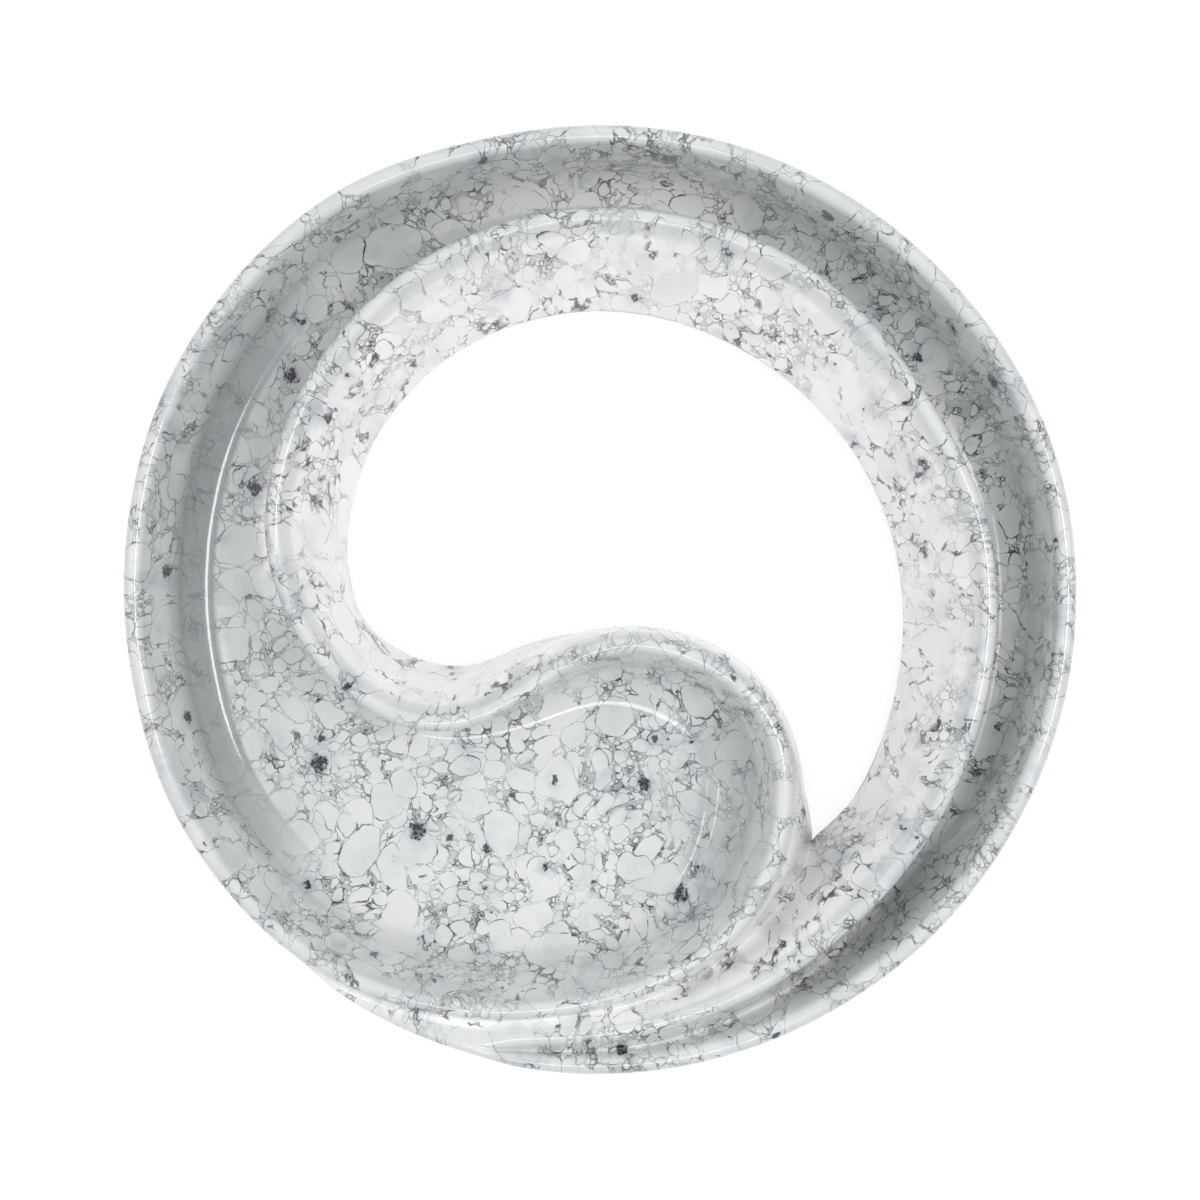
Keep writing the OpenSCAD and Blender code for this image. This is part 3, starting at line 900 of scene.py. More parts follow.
    def painted_shade(self, places: np.ndarray, side: int) -> np.ndarray:
        """Finds how much painted shade the fillets take at stations of the left walls, for side 1, or of the
        right, for -1: more on walls that face sideways.
        """
        return smoothstep(*self.painted_shade_facing, self.line.inward[places, 0] * side)[:, None]

    def painted_glow_at(self, places: np.ndarray) -> np.ndarray:
        """Finds how much painted glow the channel's fillet takes at stations of the outer rim: at the back,
        and in the groove.
        """
        bearing = np.degrees(np.arctan2(self.line.rim[places, 1], self.line.rim[places, 0]))
        return np.maximum(plateau(bearing, *PAINTED_GLOW_BACK), plateau(bearing, *PAINTED_GLOW_GROOVE))[:, None]

    def soften_valley(self, columns: np.ndarray, middle: int) -> None:
        """Rounds the valley between the tail and the basin's rim.

        Args:
            columns: The tail's sections, changed in place.
            middle: The index of the valley's point in each.
        """
        at = np.arange(len(columns))
        grow = smoothstep(0, self.steps, at) * (1 - smoothstep(*self.valley_ends, at / self.cusp_at))
        creases = self.line.end[self.root_at + at]
        edge = self.tail_values(1)[at] * self.radius
        room = self.valley_room * (edge - np.linalg.norm(creases[:, :2], axis=1))
        for section, crease, share, spare in zip(columns, creases, grow, room):
            before = min(self.valley, spare) * share
            after = self.valley_after * self.valley * share
            run = chords(section) - chords(section)[middle]
            ends = -before, after
            first, last = np.stack([np.interp(ends, run, section[:, axis]) for axis in range(3)], axis=1)
            near = (run > -before) & (run < after)
            t = ((run[near] + before) / max(before + after, MM))[:, None]
            section[near] = (1 - t) ** 2 * first + 2 * t * (1 - t) * crease + t**2 * last

    def build(self) -> bpy.types.Object:
        """Builds the skin as one closed mesh.

        Returns:
            The body's object.
        """
        bm = bmesh.new()
        for made in (self.tail_columns(), self.ring_columns(), self.left_columns(), self.head_columns()):
            sheet_through(bm, *made)
        bmesh.ops.remove_doubles(bm, verts=bm.verts, dist=self.weld)
        edges = [e for e in bm.edges if e.is_boundary]
        log.info("open edges before the floors: %d", len(edges))
        flats = bmesh.ops.holes_fill(bm, edges=edges, sides=0)["faces"]
        log.info("flat faces: %s", [(len(f.verts), round(f.calc_center_median().z, 4)) for f in flats])
        bmesh.ops.recalc_face_normals(bm, faces=bm.faces)
        inner = [f for f in flats if f.calc_center_median().z > self.base + MM]
        for width in self.floor_rings:
            bmesh.ops.inset_region(bm, faces=inner, thickness=width, use_even_offset=False)
        bmesh.ops.triangulate(bm, faces=[f for f in bm.faces if len(f.verts) > 4])
        unclosed = sum(not e.is_manifold for e in bm.edges)
        log.info("open edges left: %d, faces: %d", unclosed, len(bm.faces))
        for face in bm.faces:
            face.smooth = True
        for edge in bm.edges:
            edge.smooth = edge.calc_face_angle(0.0) < self.sharp_from
        self.shade_rims(bm)
        return mesh_object("glazed_body", bm)

    def shade_rims(self, bm: bmesh.types.BMesh) -> None:
        """Paints shade onto the rims' tops, a little of the painted shade's grey, which darkens them.

        Args:
            bm: The skin, with the layer of painted shading.
        """
        pool = bm.verts.layers.float["pool"]
        # Painted shade on the rims' tops.
        for vert in bm.verts:
            rise = smoothstep(self.top - self.bead, self.top - self.rim_shade_from * self.bead, vert.co.z)
            vert[pool] += self.rim_wear * float(rise)


def sheet_through(bm: bmesh.types.BMesh, columns: np.ndarray, clear: np.ndarray, pool: np.ndarray) -> None:
    """Makes a grid and moves its points onto columns of points.

    Args:
        bm: The mesh that the grid is added to.
        columns: The places, an array of columns, points and coordinates.
        clear: How clear the glaze is at each point of a column.
        pool: How much painted shading, dark or light, each point of each column takes.
    """
    for name in ("clear", "pool"):
        if name not in bm.verts.layers.float:
            bm.verts.layers.float.new(name)
    clear_layer, painted_shading_layer = bm.verts.layers.float["clear"], bm.verts.layers.float["pool"]
    across, up = columns.shape[0] - 1, columns.shape[1] - 1
    made = bmesh.ops.create_grid(bm, x_segments=across, y_segments=up, size=1.0)["verts"]
    for vert in made:
        column = round((vert.co.x + 1) / 2 * across)
        point = round((vert.co.y + 1) / 2 * up)
        vert.co = columns[column, point]
        vert[clear_layer] = clear[point]
        vert[painted_shading_layer] = pool[column, point]


def add_object(name: str, data: bpy.types.ID) -> bpy.types.Object:
    """Adds an object to the scene.

    Args:
        name: Its name.
        data: Its mesh, lamp or camera.

    Returns:
        The new object.
    """
    made = bpy.data.objects.new(name, data)
    bpy.context.scene.collection.objects.link(made)
    return made


def mesh_object(name: str, bm: bmesh.types.BMesh) -> bpy.types.Object:
    """Turns a bmesh into an object in the scene.

    Args:
        name: The piece's name.
        bm: The mesh, which is freed.

    Returns:
        The new object.
    """
    mesh = bpy.data.meshes.new(name)
    bm.to_mesh(mesh)
    bm.free()
    return add_object(name, mesh)


# Materials


class Finish(Enum):
    """The finishes, by the names of their slots."""

    GLAZE = "glaze"
    BARE_CLAY = "bare_clay"
    FELT = "felt"


Value = float | tuple | bpy.types.NodeSocket


@dataclass
class NodeSheet:
    """Writes nodes into one tree and wires them.

    Attributes:
        tree: The tree.
    """

    tree: bpy.types.NodeTree

    def add(self, kind: str, **settings: object) -> bpy.types.Node:
        """Adds a node.

        Args:
            kind: Its type, without the words that all shader nodes share.
            settings: Its settings.

        Returns:
            The node.
        """
        node = self.tree.nodes.new("ShaderNode" + kind)
        for name, value in settings.items():
            setattr(node, name, value)
        return node

    def feed(self, socket: bpy.types.NodeSocket, value: Value) -> None:
        """Wires a socket to another, or sets its value."""
        if isinstance(value, bpy.types.NodeSocket):
            self.tree.links.new(value, socket)
        else:
            socket.default_value = value

    def math(self, operation: str, *values: Value, clamp: bool = False) -> bpy.types.NodeSocket:
        """Works a sum out.

        Args:
            operation: The sum.
            values: What goes in.
            clamp: Whether the result is kept between 0 and 1.

        Returns:
            The result's socket.
        """
        node = self.add("Math", operation=operation, use_clamp=clamp)
        for socket, value in zip(node.inputs, values):
            self.feed(socket, value)
        return node.outputs["Value"]

    def vector(self, operation: str, *values: Value, scale: Value | None = None) -> bpy.types.Node:
        """Adds a sum of vectors.

        Args:
            operation: The sum.
            values: What goes in.
            scale: The scale, where the sum has one.

        Returns:
            The node.
        """
        node = self.add("VectorMath", operation=operation)
        for socket, value in zip(node.inputs, values):
            self.feed(socket, value)
        if scale is not None:
            self.feed(node.inputs["Scale"], scale)
        return node

    def ramp(
        self, value: Value, low: Value, high: Value, start: Value = 0.0, stop: Value = 1.0
    ) -> bpy.types.NodeSocket:
        """Changes smoothly from one number to another as a value rises.

        Args:
            value: The value.
            low: Where the change starts.
            high: Where it ends.
            start: The number below low.
            stop: The number above high.

        Returns:
            The result's socket.
        """
        node = self.add("MapRange", interpolation_type="SMOOTHSTEP")
        names = "Value", "From Min", "From Max", "To Min", "To Max"
        for name, fed in zip(names, (value, low, high, start, stop)):
            self.feed(node.inputs[name], fed)
        return node.outputs["Result"]

    def blend(self, share: Value, a: Value, b: Value, kind: str = "FLOAT") -> bpy.types.NodeSocket:
        """Mixes two numbers or two colours.

        Args:
            share: How much of the second there is.
            a: The first.
            b: The second.
            kind: The sort of value that is mixed.

        Returns:
            The mix's socket.
        """
        node = self.add("Mix", data_type=kind)
        sockets = [s for s in node.inputs if s.enabled]
        for socket, value in zip(sockets, (share, a, b)):
            self.feed(socket, value)
        return next(s for s in node.outputs if s.enabled)

    def noise(
        self, place: Value, size: float, detail: float = 2.0, name: str = "Fac"
    ) -> bpy.types.NodeSocket:
        """Adds cloudy noise.

        Args:
            place: The coordinates, in metres.
            size: The width of its clouds, in metres.
            detail: Its octaves.
            name: The output that is read.

        Returns:
            The noise's socket.
        """
        node = self.add("TexNoise")
        self.feed(node.inputs["Vector"], place)
        self.feed(node.inputs["Scale"], 1 / size)
        self.feed(node.inputs["Detail"], detail)
        return node.outputs[name]

    def times(self, value: Value, by: Value) -> bpy.types.NodeSocket:
        """Multiplies two numbers."""
        return self.math("MULTIPLY", value, by)

    def held(self, value: Value, mask: Value, share: float) -> bpy.types.NodeSocket:
        """Takes a share of a number away where a mask is 1."""
        return self.times(value, self.math("MULTIPLY_ADD", mask, -share, 1.0))

    def cells(self, place: Value, scale: float, feature: str = "F1") -> bpy.types.Node:
        """Adds cells round scattered points.

        Args:
            place: The coordinates.
            scale: How many cells there are to a unit.
            feature: What is measured in them.

        Returns:
            The cells' node.
        """
        node = self.add("TexVoronoi", feature=feature)
        self.feed(node.inputs["Vector"], place)
        self.feed(node.inputs["Scale"], scale)
        return node

    def chances(self, cells: bpy.types.Node) -> list[bpy.types.NodeSocket]:
        """Reads three numbers that are random from cell to cell.

        Args:
            cells: The cells' node.

        Returns:
            The numbers' sockets.
        """
        parted = self.add("SeparateColor")
        self.feed(parted.inputs["Color"], cells.outputs["Color"])
        return list(parted.outputs)

    def shaken(
        self, place: Value, by: Value, size: float, reach: float, detail: float
    ) -> bpy.types.NodeSocket:
        """Shifts coordinates by cloudy noise.

        Args:
            place: The coordinates.
            by: Those at which the noise is read.
            size: The width of its clouds, in metres.
            reach: How far it shifts, in metres.
            detail: Its octaves.

        Returns:
            The shifted coordinates' socket.
        """
        cloud = self.noise(by, size, detail, "Color")
        shift = self.vector("SUBTRACT", cloud, (0.5, 0.5, 0.5)).outputs[0]
        return self.vector("ADD", place, self.vector("SCALE", shift, scale=reach).outputs[0]).outputs[0]

    def emboss(self, shader: bpy.types.Node, strength: float, depth: float, height: Value) -> None:
        """Makes a shader's surface look raised.

        Args:
            shader: The shader node.
            strength: How strong the relief is.
            depth: How deep it is, in metres.
            height: Where it is high.
        """
        bump = self.add("Bump")
        for name, value in (("Strength", strength), ("Distance", depth), ("Height", height)):
            self.feed(bump.inputs[name], value)
        self.feed(shader.inputs["Normal"], bump.outputs["Normal"])

    def group(self, tree: bpy.types.NodeTree, **values: Value) -> bpy.types.Node:
        """Adds a node group.

        Args:
            tree: The group.
            values: What goes into its sockets, by their names in lower case.

        Returns:
            The group's node.
        """
        node = self.add("Group", node_tree=tree)
        for name, value in values.items():
            self.feed(node.inputs[name], value)
        return node


def new_group(
    name: str, inputs: dict[str, str], outputs: dict[str, str]
) -> tuple[NodeSheet, dict, bpy.types.Node]:
    """Starts a node group.

    Args:
        name: Its name.
        inputs: The sorts of its inputs, by name.
        outputs: The sorts of its outputs, by name.

    Returns:
        The group's sheet, its inputs' sockets by name, and its output node.
    """
    tree = bpy.data.node_groups.new(name, "ShaderNodeTree")
    for way, sockets in (("INPUT", inputs), ("OUTPUT", outputs)):
        for label, kind in sockets.items():
            tree.interface.new_socket(label, in_out=way, socket_type="NodeSocket" + kind)
    entry = tree.nodes.new("NodeGroupInput")
    exit_node = tree.nodes.new("NodeGroupOutput")
    return NodeSheet(tree), {label: entry.outputs[label] for label in inputs}, exit_node


# The least radius of a bubble and how much more it may have, in spacings, and the seams' width in outlines
BUBBLE_RADIUS = 0.40
BUBBLE_SPREAD = 0.30
SEAM_WIDTH = 0.6


def bubble_layer(seamed: bool) -> bpy.types.NodeTree:
    """Makes the group for one size of bubbles, which cover the smaller ones below them.

    Args:
        seamed: Whether lines part the bubbles that press against each other.

    Returns:
        The group.
    """
    sheet, given, result = new_group(
        "seamed_bubbles" if seamed else "small_bubbles",
        {
            "place": "Vector", "size": "Float", "cover": "Float", "width": "Float", "seams": "Float",
            "line_below": "Float", "tone_below": "Float",
        },
        {"line": "Float", "tone": "Float"},
    )
    fineness = sheet.math("DIVIDE", 1.0, given["size"])
    scaled = sheet.vector("SCALE", given["place"], scale=fineness).outputs[0]
    cell = sheet.cells(scaled, 1.0)
    breadth, tone, rarity = sheet.chances(cell)
    radius = sheet.math("MULTIPLY_ADD", breadth, BUBBLE_SPREAD, BUBBLE_RADIUS)
    gap = sheet.math("SUBTRACT", radius, cell.outputs["Distance"])
    there = sheet.math("LESS_THAN", rarity, given["cover"])
    inside = sheet.times(there, sheet.math("GREATER_THAN", gap, 0.0))
    width = sheet.math("DIVIDE", given["width"], given["size"])
    line = sheet.ramp(gap, 0.0, width, 1.0, 0.0)
    if seamed:
        edge = sheet.cells(scaled, 1.0, "DISTANCE_TO_EDGE")
        seam = sheet.ramp(edge.outputs["Distance"], 0.0, sheet.times(width, SEAM_WIDTH), 1.0, 0.0)
        line = sheet.math("MAXIMUM", line, sheet.times(seam, given["seams"]))
    for label, value in (("line", line), ("tone", tone)):
        sheet.feed(result.inputs[label], sheet.blend(inside, given[label + "_below"], value))
    return sheet.tree


# The width and the reach of each wave that shakes the bubbles out of their regular cells
WOBBLES = ((30 * MM, 16 * MM), (7 * MM, 3.2 * MM), (1.8 * MM, 0.7 * MM))


def wobble() -> bpy.types.NodeTree:
    """Makes the group that shakes coordinates, so that bubbles and lines aren't regular.

    Returns:
        The group.
    """
    sheet, given, result = new_group("wobble", {"place": "Vector"}, {"place": "Vector"})
    place = given["place"]
    for size, reach in WOBBLES:
        place = sheet.shaken(place, given["place"], size, reach, 0.0)
    sheet.feed(result.inputs["place"], place)
    return sheet.tree


@dataclass(frozen=True)
class Blot:
    """A dark spot where the stain gathered.

    Attributes:
        x: Its place to the right, in mm at the rims' height, as seen from overhead.
        y: Its place to the back, in the same way.
        radius: Its radius, in mm.
        halo: How far its bluish cloud reaches, in mm.
    """

    x: float
    y: float
    radius: float
    halo: float = 7.0

    def on(self, body: bpy.types.Object) -> Vector:
        """Finds the spot's place on the glaze.

        Args:
            body: The glazed body.

        Returns:
            The point of the body that is seen at the spot's place.
        """
        eye = Vector((0, 0, CAMERA_HEIGHT + RIM_HEIGHT))
        hit, point, *_ = body.ray_cast(eye, Vector((self.x * MM, self.y * MM, RIM_HEIGHT)) - eye)
        return point if hit else Vector((self.x * MM, self.y * MM, RIM_HEIGHT))


BLOTS = (
    Blot(-118, -68, 3.4, 12), Blot(-77, -97, 3.4, 11), Blot(34, -124, 2.8, 10), Blot(19, -77, 2.2, 11),
    Blot(-23, -112, 1.6), Blot(41, -111, 1.2, 12), Blot(-182, 12, 2.6), Blot(-173, -49, 2.4),
    Blot(165, 92, 2.6), Blot(168, -53, 2.0, 9), Blot(29, 185, 2.8), Blot(-49, 184, 2.0, 12),
    Blot(96, 161, 2.4), Blot(-145, 47, 2.6, 12), Blot(-130, 94, 3.2, 9), Blot(15, 127, 1.8, 9),
    Blot(-31, 112, 1.6, 9), Blot(60, 104, 1.2, 8), Blot(59, 98, 1.3, 6), Blot(106, 66, 1.6, 9),
    Blot(134, 53, 1.4, 8), Blot(136, 20, 2.2, 8), Blot(100, -89, 2.0, 12), Blot(127, -96, 1.4, 8),
    Blot(-63, -28, 1.4, 8), Blot(-106, -36, 1.6, 9), Blot(-47, -39, 1.0, 7), Blot(42, -36, 2.4, 8),
    Blot(51, -25, 1.2, 8), Blot(9, -189, 2.2, 6), Blot(-70, -160, 1.8, 8), Blot(-94, -149, 1.6, 8),
    Blot(-123, -120, 1.6, 8), Blot(-55, -9, 1.2, 8), Blot(-125, 117, 1.6, 8), Blot(133, 102, 2.0, 9),
    Blot(38, -59, 1.2, 9), Blot(36, -70, 1.0, 8), Blot(39, -93, 1.0, 8), Blot(28, -59, 1.0, 9),
)


# The width and the reach of the waves that shake the spots' edges, the width of their grain, how far apart
# the small random specks lie, and a distance in radii at which a spot has no effect
BLOT_WAVE = 4 * MM
BLOT_REACH = 7 * MM
BLOT_GRAIN = 1.3 * MM
SPECK_SPACING = 15 * MM
FAR_OFF = 9.0
# The share of places without a speck, and the least radius of a speck and how much more it may have
SPECK_FREE = 0.5
SPECK_RADIUS = 0.05
SPECK_SPREAD = 0.07
# How a spot fades, as ramps over the distance in radii: its solid middle, its edge, its bluish cloud, a
# speck's dot and the mist round it
SOLID = (0.35, 1.1, 0.75, 0.25)
EDGE = (0.95, 1.35, 1.0, 0.0)
HALO = (0.1, 1.0, 1.0, 0.0)
DOT = (0.7, 1.2, 0.9, 0.0)
MIST = (0.6, 4.5, 0.55, 0.0)
# How dark a grain is from its middle out
GRAIN = (0.45, 0.75, 1.0)


def blots(body: bpy.types.Object, scale: tuple) -> bpy.types.NodeTree:
    """Makes the group for the dark spots and the bluish clouds round them.

    Args:
        body: The glazed body.
        scale: How the glaze's pattern is scaled.

    Returns:
        The group.
    """
    sheet, given, result = new_group("blots", {"place": "Vector"}, {"core": "Float", "cloud": "Float"})
    near = sheet.shaken(given["place"], given["place"], BLOT_WAVE, BLOT_REACH, 3.0)
    core = cloud = FAR_OFF
    for blot in BLOTS:
        centre = blot.on(body) * Vector(scale)
        away = sheet.vector("DISTANCE", near, centre).outputs["Value"]
        core = sheet.math("MINIMUM", core, sheet.math("DIVIDE", away, blot.radius * MM))
        cloud = sheet.math("MINIMUM", cloud, sheet.math("DIVIDE", away, blot.halo * MM))
    grain = sheet.cells(given["place"], 1 / BLOT_GRAIN)
    grains = sheet.ramp(grain.outputs["Distance"], *GRAIN, sheet.ramp(core, *SOLID))
    speck = sheet.cells(near, 1 / SPECK_SPACING)
    rarity, breadth, _ = sheet.chances(speck)
    there = sheet.math("GREATER_THAN", rarity, SPECK_FREE)
    size = sheet.math("MULTIPLY_ADD", breadth, SPECK_SPREAD, SPECK_RADIUS)
    away = sheet.math("DIVIDE", speck.outputs["Distance"], size)
    cores = sheet.times(sheet.ramp(core, *EDGE), grains)
    pairs = ("core", cores, DOT), ("cloud", sheet.ramp(cloud, *HALO), MIST)
    for label, spots, fade in pairs:
        specks = sheet.times(there, sheet.ramp(away, *fade))
        sheet.feed(result.inputs[label], sheet.math("MAXIMUM", spots, specks))
    return sheet.tree


@dataclass(frozen=True)
class Cloud:
    """Cloudy noise that passes smoothly from one number to another.

    Attributes:
        size: The width of its clouds, in mm.
        detail: Its octaves.
        low: The noise up to which the result is start.
        high: The noise from which it is stop.
        start: The first number.
        stop: The last number.
    """

    size: float
    detail: float
    low: float
    high: float
    start: float = 0.0
    stop: float = 1.0

    def on(self, sheet: NodeSheet, place: Value) -> bpy.types.NodeSocket:
        """Writes the noise's nodes."""
        noise = sheet.noise(place, self.size * MM, self.detail)
        return sheet.ramp(noise, self.low, self.high, self.start, self.stop)


@dataclass(frozen=True)
class GlazePoint:
    """What the glaze's pattern is worked out from at each point of the skin.

    Attributes:
        sheet: The material's nodes.
        place: The point's coordinates, with the scale that draws the pattern out on steep faces.
        shaken: The same, shaken so that bubbles aren't regular.
        clear: How clear the glaze is.
        pool: How much painted shade there is.
        lift: How much painted glow there is.
    """

    sheet: NodeSheet
    place: bpy.types.NodeSocket
    shaken: bpy.types.NodeSocket
    clear: bpy.types.NodeSocket
    pool: bpy.types.NodeSocket
    lift: bpy.types.NodeSocket

    @classmethod
    def of(cls, sheet: NodeSheet, scale: tuple) -> "GlazePoint":
        """Writes the nodes that read the coordinates and the skin's attributes.

        Args:
            sheet: The material's nodes.
            scale: How the pattern is scaled.

        Returns:
            What they give.
        """
        mapping = sheet.add("Mapping")
        mapping.inputs["Scale"].default_value = scale
        sheet.feed(mapping.inputs["Vector"], sheet.add("TexCoord").outputs["Object"])
        place = mapping.outputs["Vector"]
        shaken = sheet.group(wobble(), place=place).outputs["place"]
        # One attribute carries the painted shading: above zero it is painted shade, below zero painted glow.
        attributes = (sheet.add("Attribute", attribute_name=name) for name in ("clear", "pool"))
        clear, signed_painted_shading = (attribute.outputs["Fac"] for attribute in attributes)
        pool = sheet.math("MAXIMUM", signed_painted_shading, 0.0)
        lift = sheet.math("MAXIMUM", sheet.times(signed_painted_shading, -1.0), 0.0)
        return cls(sheet, place, shaken, clear, pool, lift)


@dataclass(frozen=True)
class BubbleGlaze:
    """The white glaze with its foam of bubbles, thin dark outlines, smoky smudges and blots.

    Attributes:
        sizes: The spacing of each size of bubbles, in mm, and how many of its places hold one.
        seams_from: The spacing, in mm, above which lines part bubbles that press against each other.
        white: The glaze.
        bright: The whiter glaze on the skirt and the tail, partly clearer glaze and partly painted light that
            lifts these outward faces.
        painted_glow: The painted glow's lighter colour, in parts of the channel's fillets.
        shade: The greyer glaze of some bubbles and of dull patches.
        outline: The bubbles' outlines.
        stain: The gathered dark stain.
        smoke: The bluish smudges.
        painted_shade: The painted shade's dark grey, in the fillets and on the rims.
        breaks: Where outlines swell and stain gathers on them.
        widths: The outlines' width, in metres.
        clusters: How much wider the outlines swell in clusters.
        seams: Where lines part bubbles.
        force: How strong the outlines are.
        gathers: How much stain gathers.
        quiet_clear: How quiet the pattern is in clear glaze.
        quiet: How quiet it is in patches anywhere.
        smudges: Where the bluish smudges lie.
        smudge_breaks: How they are broken up.
        dullness: Where the glaze is less white.
        under: How much outline and tone there is beneath the smallest bubbles.
        swell: How much the outlines swell, more in clear glaze and everywhere.
        cluster_swell: The same of the clusters.
        smudge_share: How strong the smudges are.
        cloud_share: How strong the clouds round the blots are.
        painted_shade_share: How much the painted shade covers.
        stain_share: How much gathered stain covers.
        tone_share: How far a bubble's tone reaches toward the greyer glaze.
        dull_share: How much of the dull patches clear glaze hides.
        bright_from: How clear the glaze is where the white starts to turn bright, and where it has.
        upright_share: The pattern's frequency up a wall as a share of that across, as the glaze runs down.
        painted_shade_hides: How much of the outlines and the stain the painted shade hides.
        quiet_hides: How much of the outlines quiet glaze hides.
        roughness: How rough the glaze is.
        coat: How much its clear coat reflects.
        coat_roughness: How rough that coat is.
        waves: The width of the gentle waves in it, in mm.
        wave_strength: How strong they look.
    """

    sizes: tuple = ((2.6, 1.0), (4.2, 0.80), (6.8, 0.75), (10.8, 0.58), (17.5, 0.42))
    seams_from: float = 5.0
    white: tuple = (0.75, 0.77, 0.76, 1)
    bright: tuple = (0.89, 0.90, 0.89, 1)
    painted_glow: tuple = (0.95, 0.96, 0.95, 1)
    shade: tuple = (0.66, 0.68, 0.68, 1)
    outline: tuple = (0.075, 0.083, 0.105, 1)
    stain: tuple = (0.018, 0.019, 0.024, 1)
    smoke: tuple = (0.37, 0.39, 0.48, 1)
    painted_shade: tuple = (0.28, 0.30, 0.31, 1)
    breaks: Cloud = Cloud(6, 3, 0.49, 0.61)
    widths: Cloud = Cloud(5, 2, 0.3, 0.75, 0.30 * MM, 0.62 * MM)
    clusters: Cloud = Cloud(20, 3, 0.50, 0.64, 0.0, 1.5)
    seams: Cloud = Cloud(14, 1, 0.42, 0.55)
    force: Cloud = Cloud(11, 3, 0.28, 0.62, 0.20)
    gathers: Cloud = Cloud(20, 3, 0.40, 0.56, 0.22)
    quiet_clear: Cloud = Cloud(38, 2, 0.40, 0.60, 1.0, 0.15)
    quiet: Cloud = Cloud(38, 2, 0.26, 0.38, 0.9, 0.0)
    smudges: Cloud = Cloud(24, 4, 0.55, 0.74)
    smudge_breaks: Cloud = Cloud(5, 2, 0.30, 0.62, 0.25)
    dullness: Cloud = Cloud(17, 3, 0.40, 0.72)
    under: tuple = (0.35, 0.3)
    swell: tuple = (0.6, 0.6)
    cluster_swell: tuple = (0.8, 0.2)
    smudge_share: float = 0.55
    cloud_share: float = 0.62
    painted_shade_share: float = 0.85
    stain_share: float = 0.95
    tone_share: float = 0.40
    dull_share: float = 0.6
    bright_from: tuple = (0.6, 1.0)
    upright_share: float = 0.5
    painted_shade_hides: float = 0.8
    quiet_hides: float = 0.92
    roughness: float = 0.10
    coat: float = 0.25
    coat_roughness: float = 0.04
    waves: float = 16.0
    wave_strength: float = 0.15

    def build(self, body: bpy.types.Object) -> bpy.types.Material:
        """Writes the glaze's nodes.

        Args:
            body: The glazed body.

        Returns:
            The material.
        """
        material, sheet, shader = new_material(Finish.GLAZE)
        scale = (1, 1, self.upright_share)
        at = GlazePoint.of(sheet, scale)
        line, tone, ticks = self.foam(at)
        spots = sheet.group(blots(body, scale), place=at.place).outputs
        color = self.plain(at, tone)
        tints = (
            # Painted shade in the fillets and on the rims.
            (sheet.times(at.pool, self.painted_shade_share), self.painted_shade),
            # Painted glow in parts of the channel's fillets.
            (at.lift, self.painted_glow),
            (self.smoke_share(at, spots["cloud"]), self.smoke),
            (line, self.outline),
            (sheet.times(ticks, self.stain_share), self.stain),
            (spots["core"], self.stain),
        )
        for share, tint in tints:
            color = sheet.blend(share, color, tint, "RGBA")
        sheet.feed(shader.inputs["Base Color"], color)
        shader.inputs["Roughness"].default_value = self.roughness
        shader.inputs["Coat Weight"].default_value = self.coat
        shader.inputs["Coat Roughness"].default_value = self.coat_roughness
        sheet.emboss(shader, self.wave_strength, 1 * MM, sheet.noise(at.place, self.waves * MM, 1.0))
        return material

    def line_width(self, at: GlazePoint, broken: bpy.types.NodeSocket) -> bpy.types.NodeSocket:
        """Writes the nodes for the outlines' width.

        Args:
            at: The point of the skin.
            broken: Where outlines swell.

        Returns:
            The width, in metres.
        """
        sheet = at.sheet
        clusters = self.clusters.on(sheet, at.place)
        clusters = sheet.times(clusters, sheet.math("MULTIPLY_ADD", at.clear, *self.cluster_swell))
        swell = sheet.times(broken, sheet.math("MULTIPLY_ADD", at.clear, *self.swell))
        swell = sheet.math("MULTIPLY_ADD", broken, clusters, swell)
        return sheet.times(self.widths.on(sheet, at.place), sheet.math("ADD", swell, 1.0))

    def foam(self, at: GlazePoint) -> tuple[bpy.types.NodeSocket, ...]:
        """Writes the nodes for the bubbles, from the smallest size to the largest.

        Args:
            at: The point of the skin.

        Returns:
            How much outline there is, the bubble's tone, and how much stain has gathered.
        """
        sheet = at.sheet
        broken = self.breaks.on(sheet, at.shaken)
        width, seams = self.line_width(at, broken), self.seams.on(sheet, at.place)
        small, seamed = bubble_layer(False), bubble_layer(True)
        line, tone = self.under
        for size, cover in self.sizes:
            layer = seamed if size > self.seams_from else small
            given = {"place": at.shaken, "size": size * MM, "cover": cover, "width": width, "seams": seams}
            made = sheet.group(layer, **given, line_below=line, tone_below=tone)
            line, tone = made.outputs["line"], made.outputs["tone"]
        quiet = sheet.times(at.clear, self.quiet_clear.on(sheet, at.place))
        quiet = sheet.math("MAXIMUM", self.quiet.on(sheet, at.place), quiet)
        force = sheet.held(self.force.on(sheet, at.place), quiet, self.quiet_hides)
        force = sheet.held(force, at.pool, self.painted_shade_hides)
        ticks = sheet.times(sheet.times(broken, line), self.gathers.on(sheet, at.place))
        ticks = sheet.held(ticks, at.pool, self.painted_shade_hides)
        return sheet.math("MULTIPLY", line, force, clamp=True), tone, ticks

    def smoke_share(self, at: GlazePoint, cloud: bpy.types.NodeSocket) -> bpy.types.NodeSocket:
        """Writes the nodes for how smoky the glaze is.

        Args:
            at: The point of the skin.
            cloud: The clouds round the blots.

        Returns:
            The share of smoke.
        """
        sheet = at.sheet
        smoke = sheet.times(self.smudges.on(sheet, at.place), self.smudge_share)
        smoke = sheet.math("MAXIMUM", smoke, sheet.times(cloud, self.cloud_share))
        return sheet.times(smoke, self.smudge_breaks.on(sheet, at.shaken))

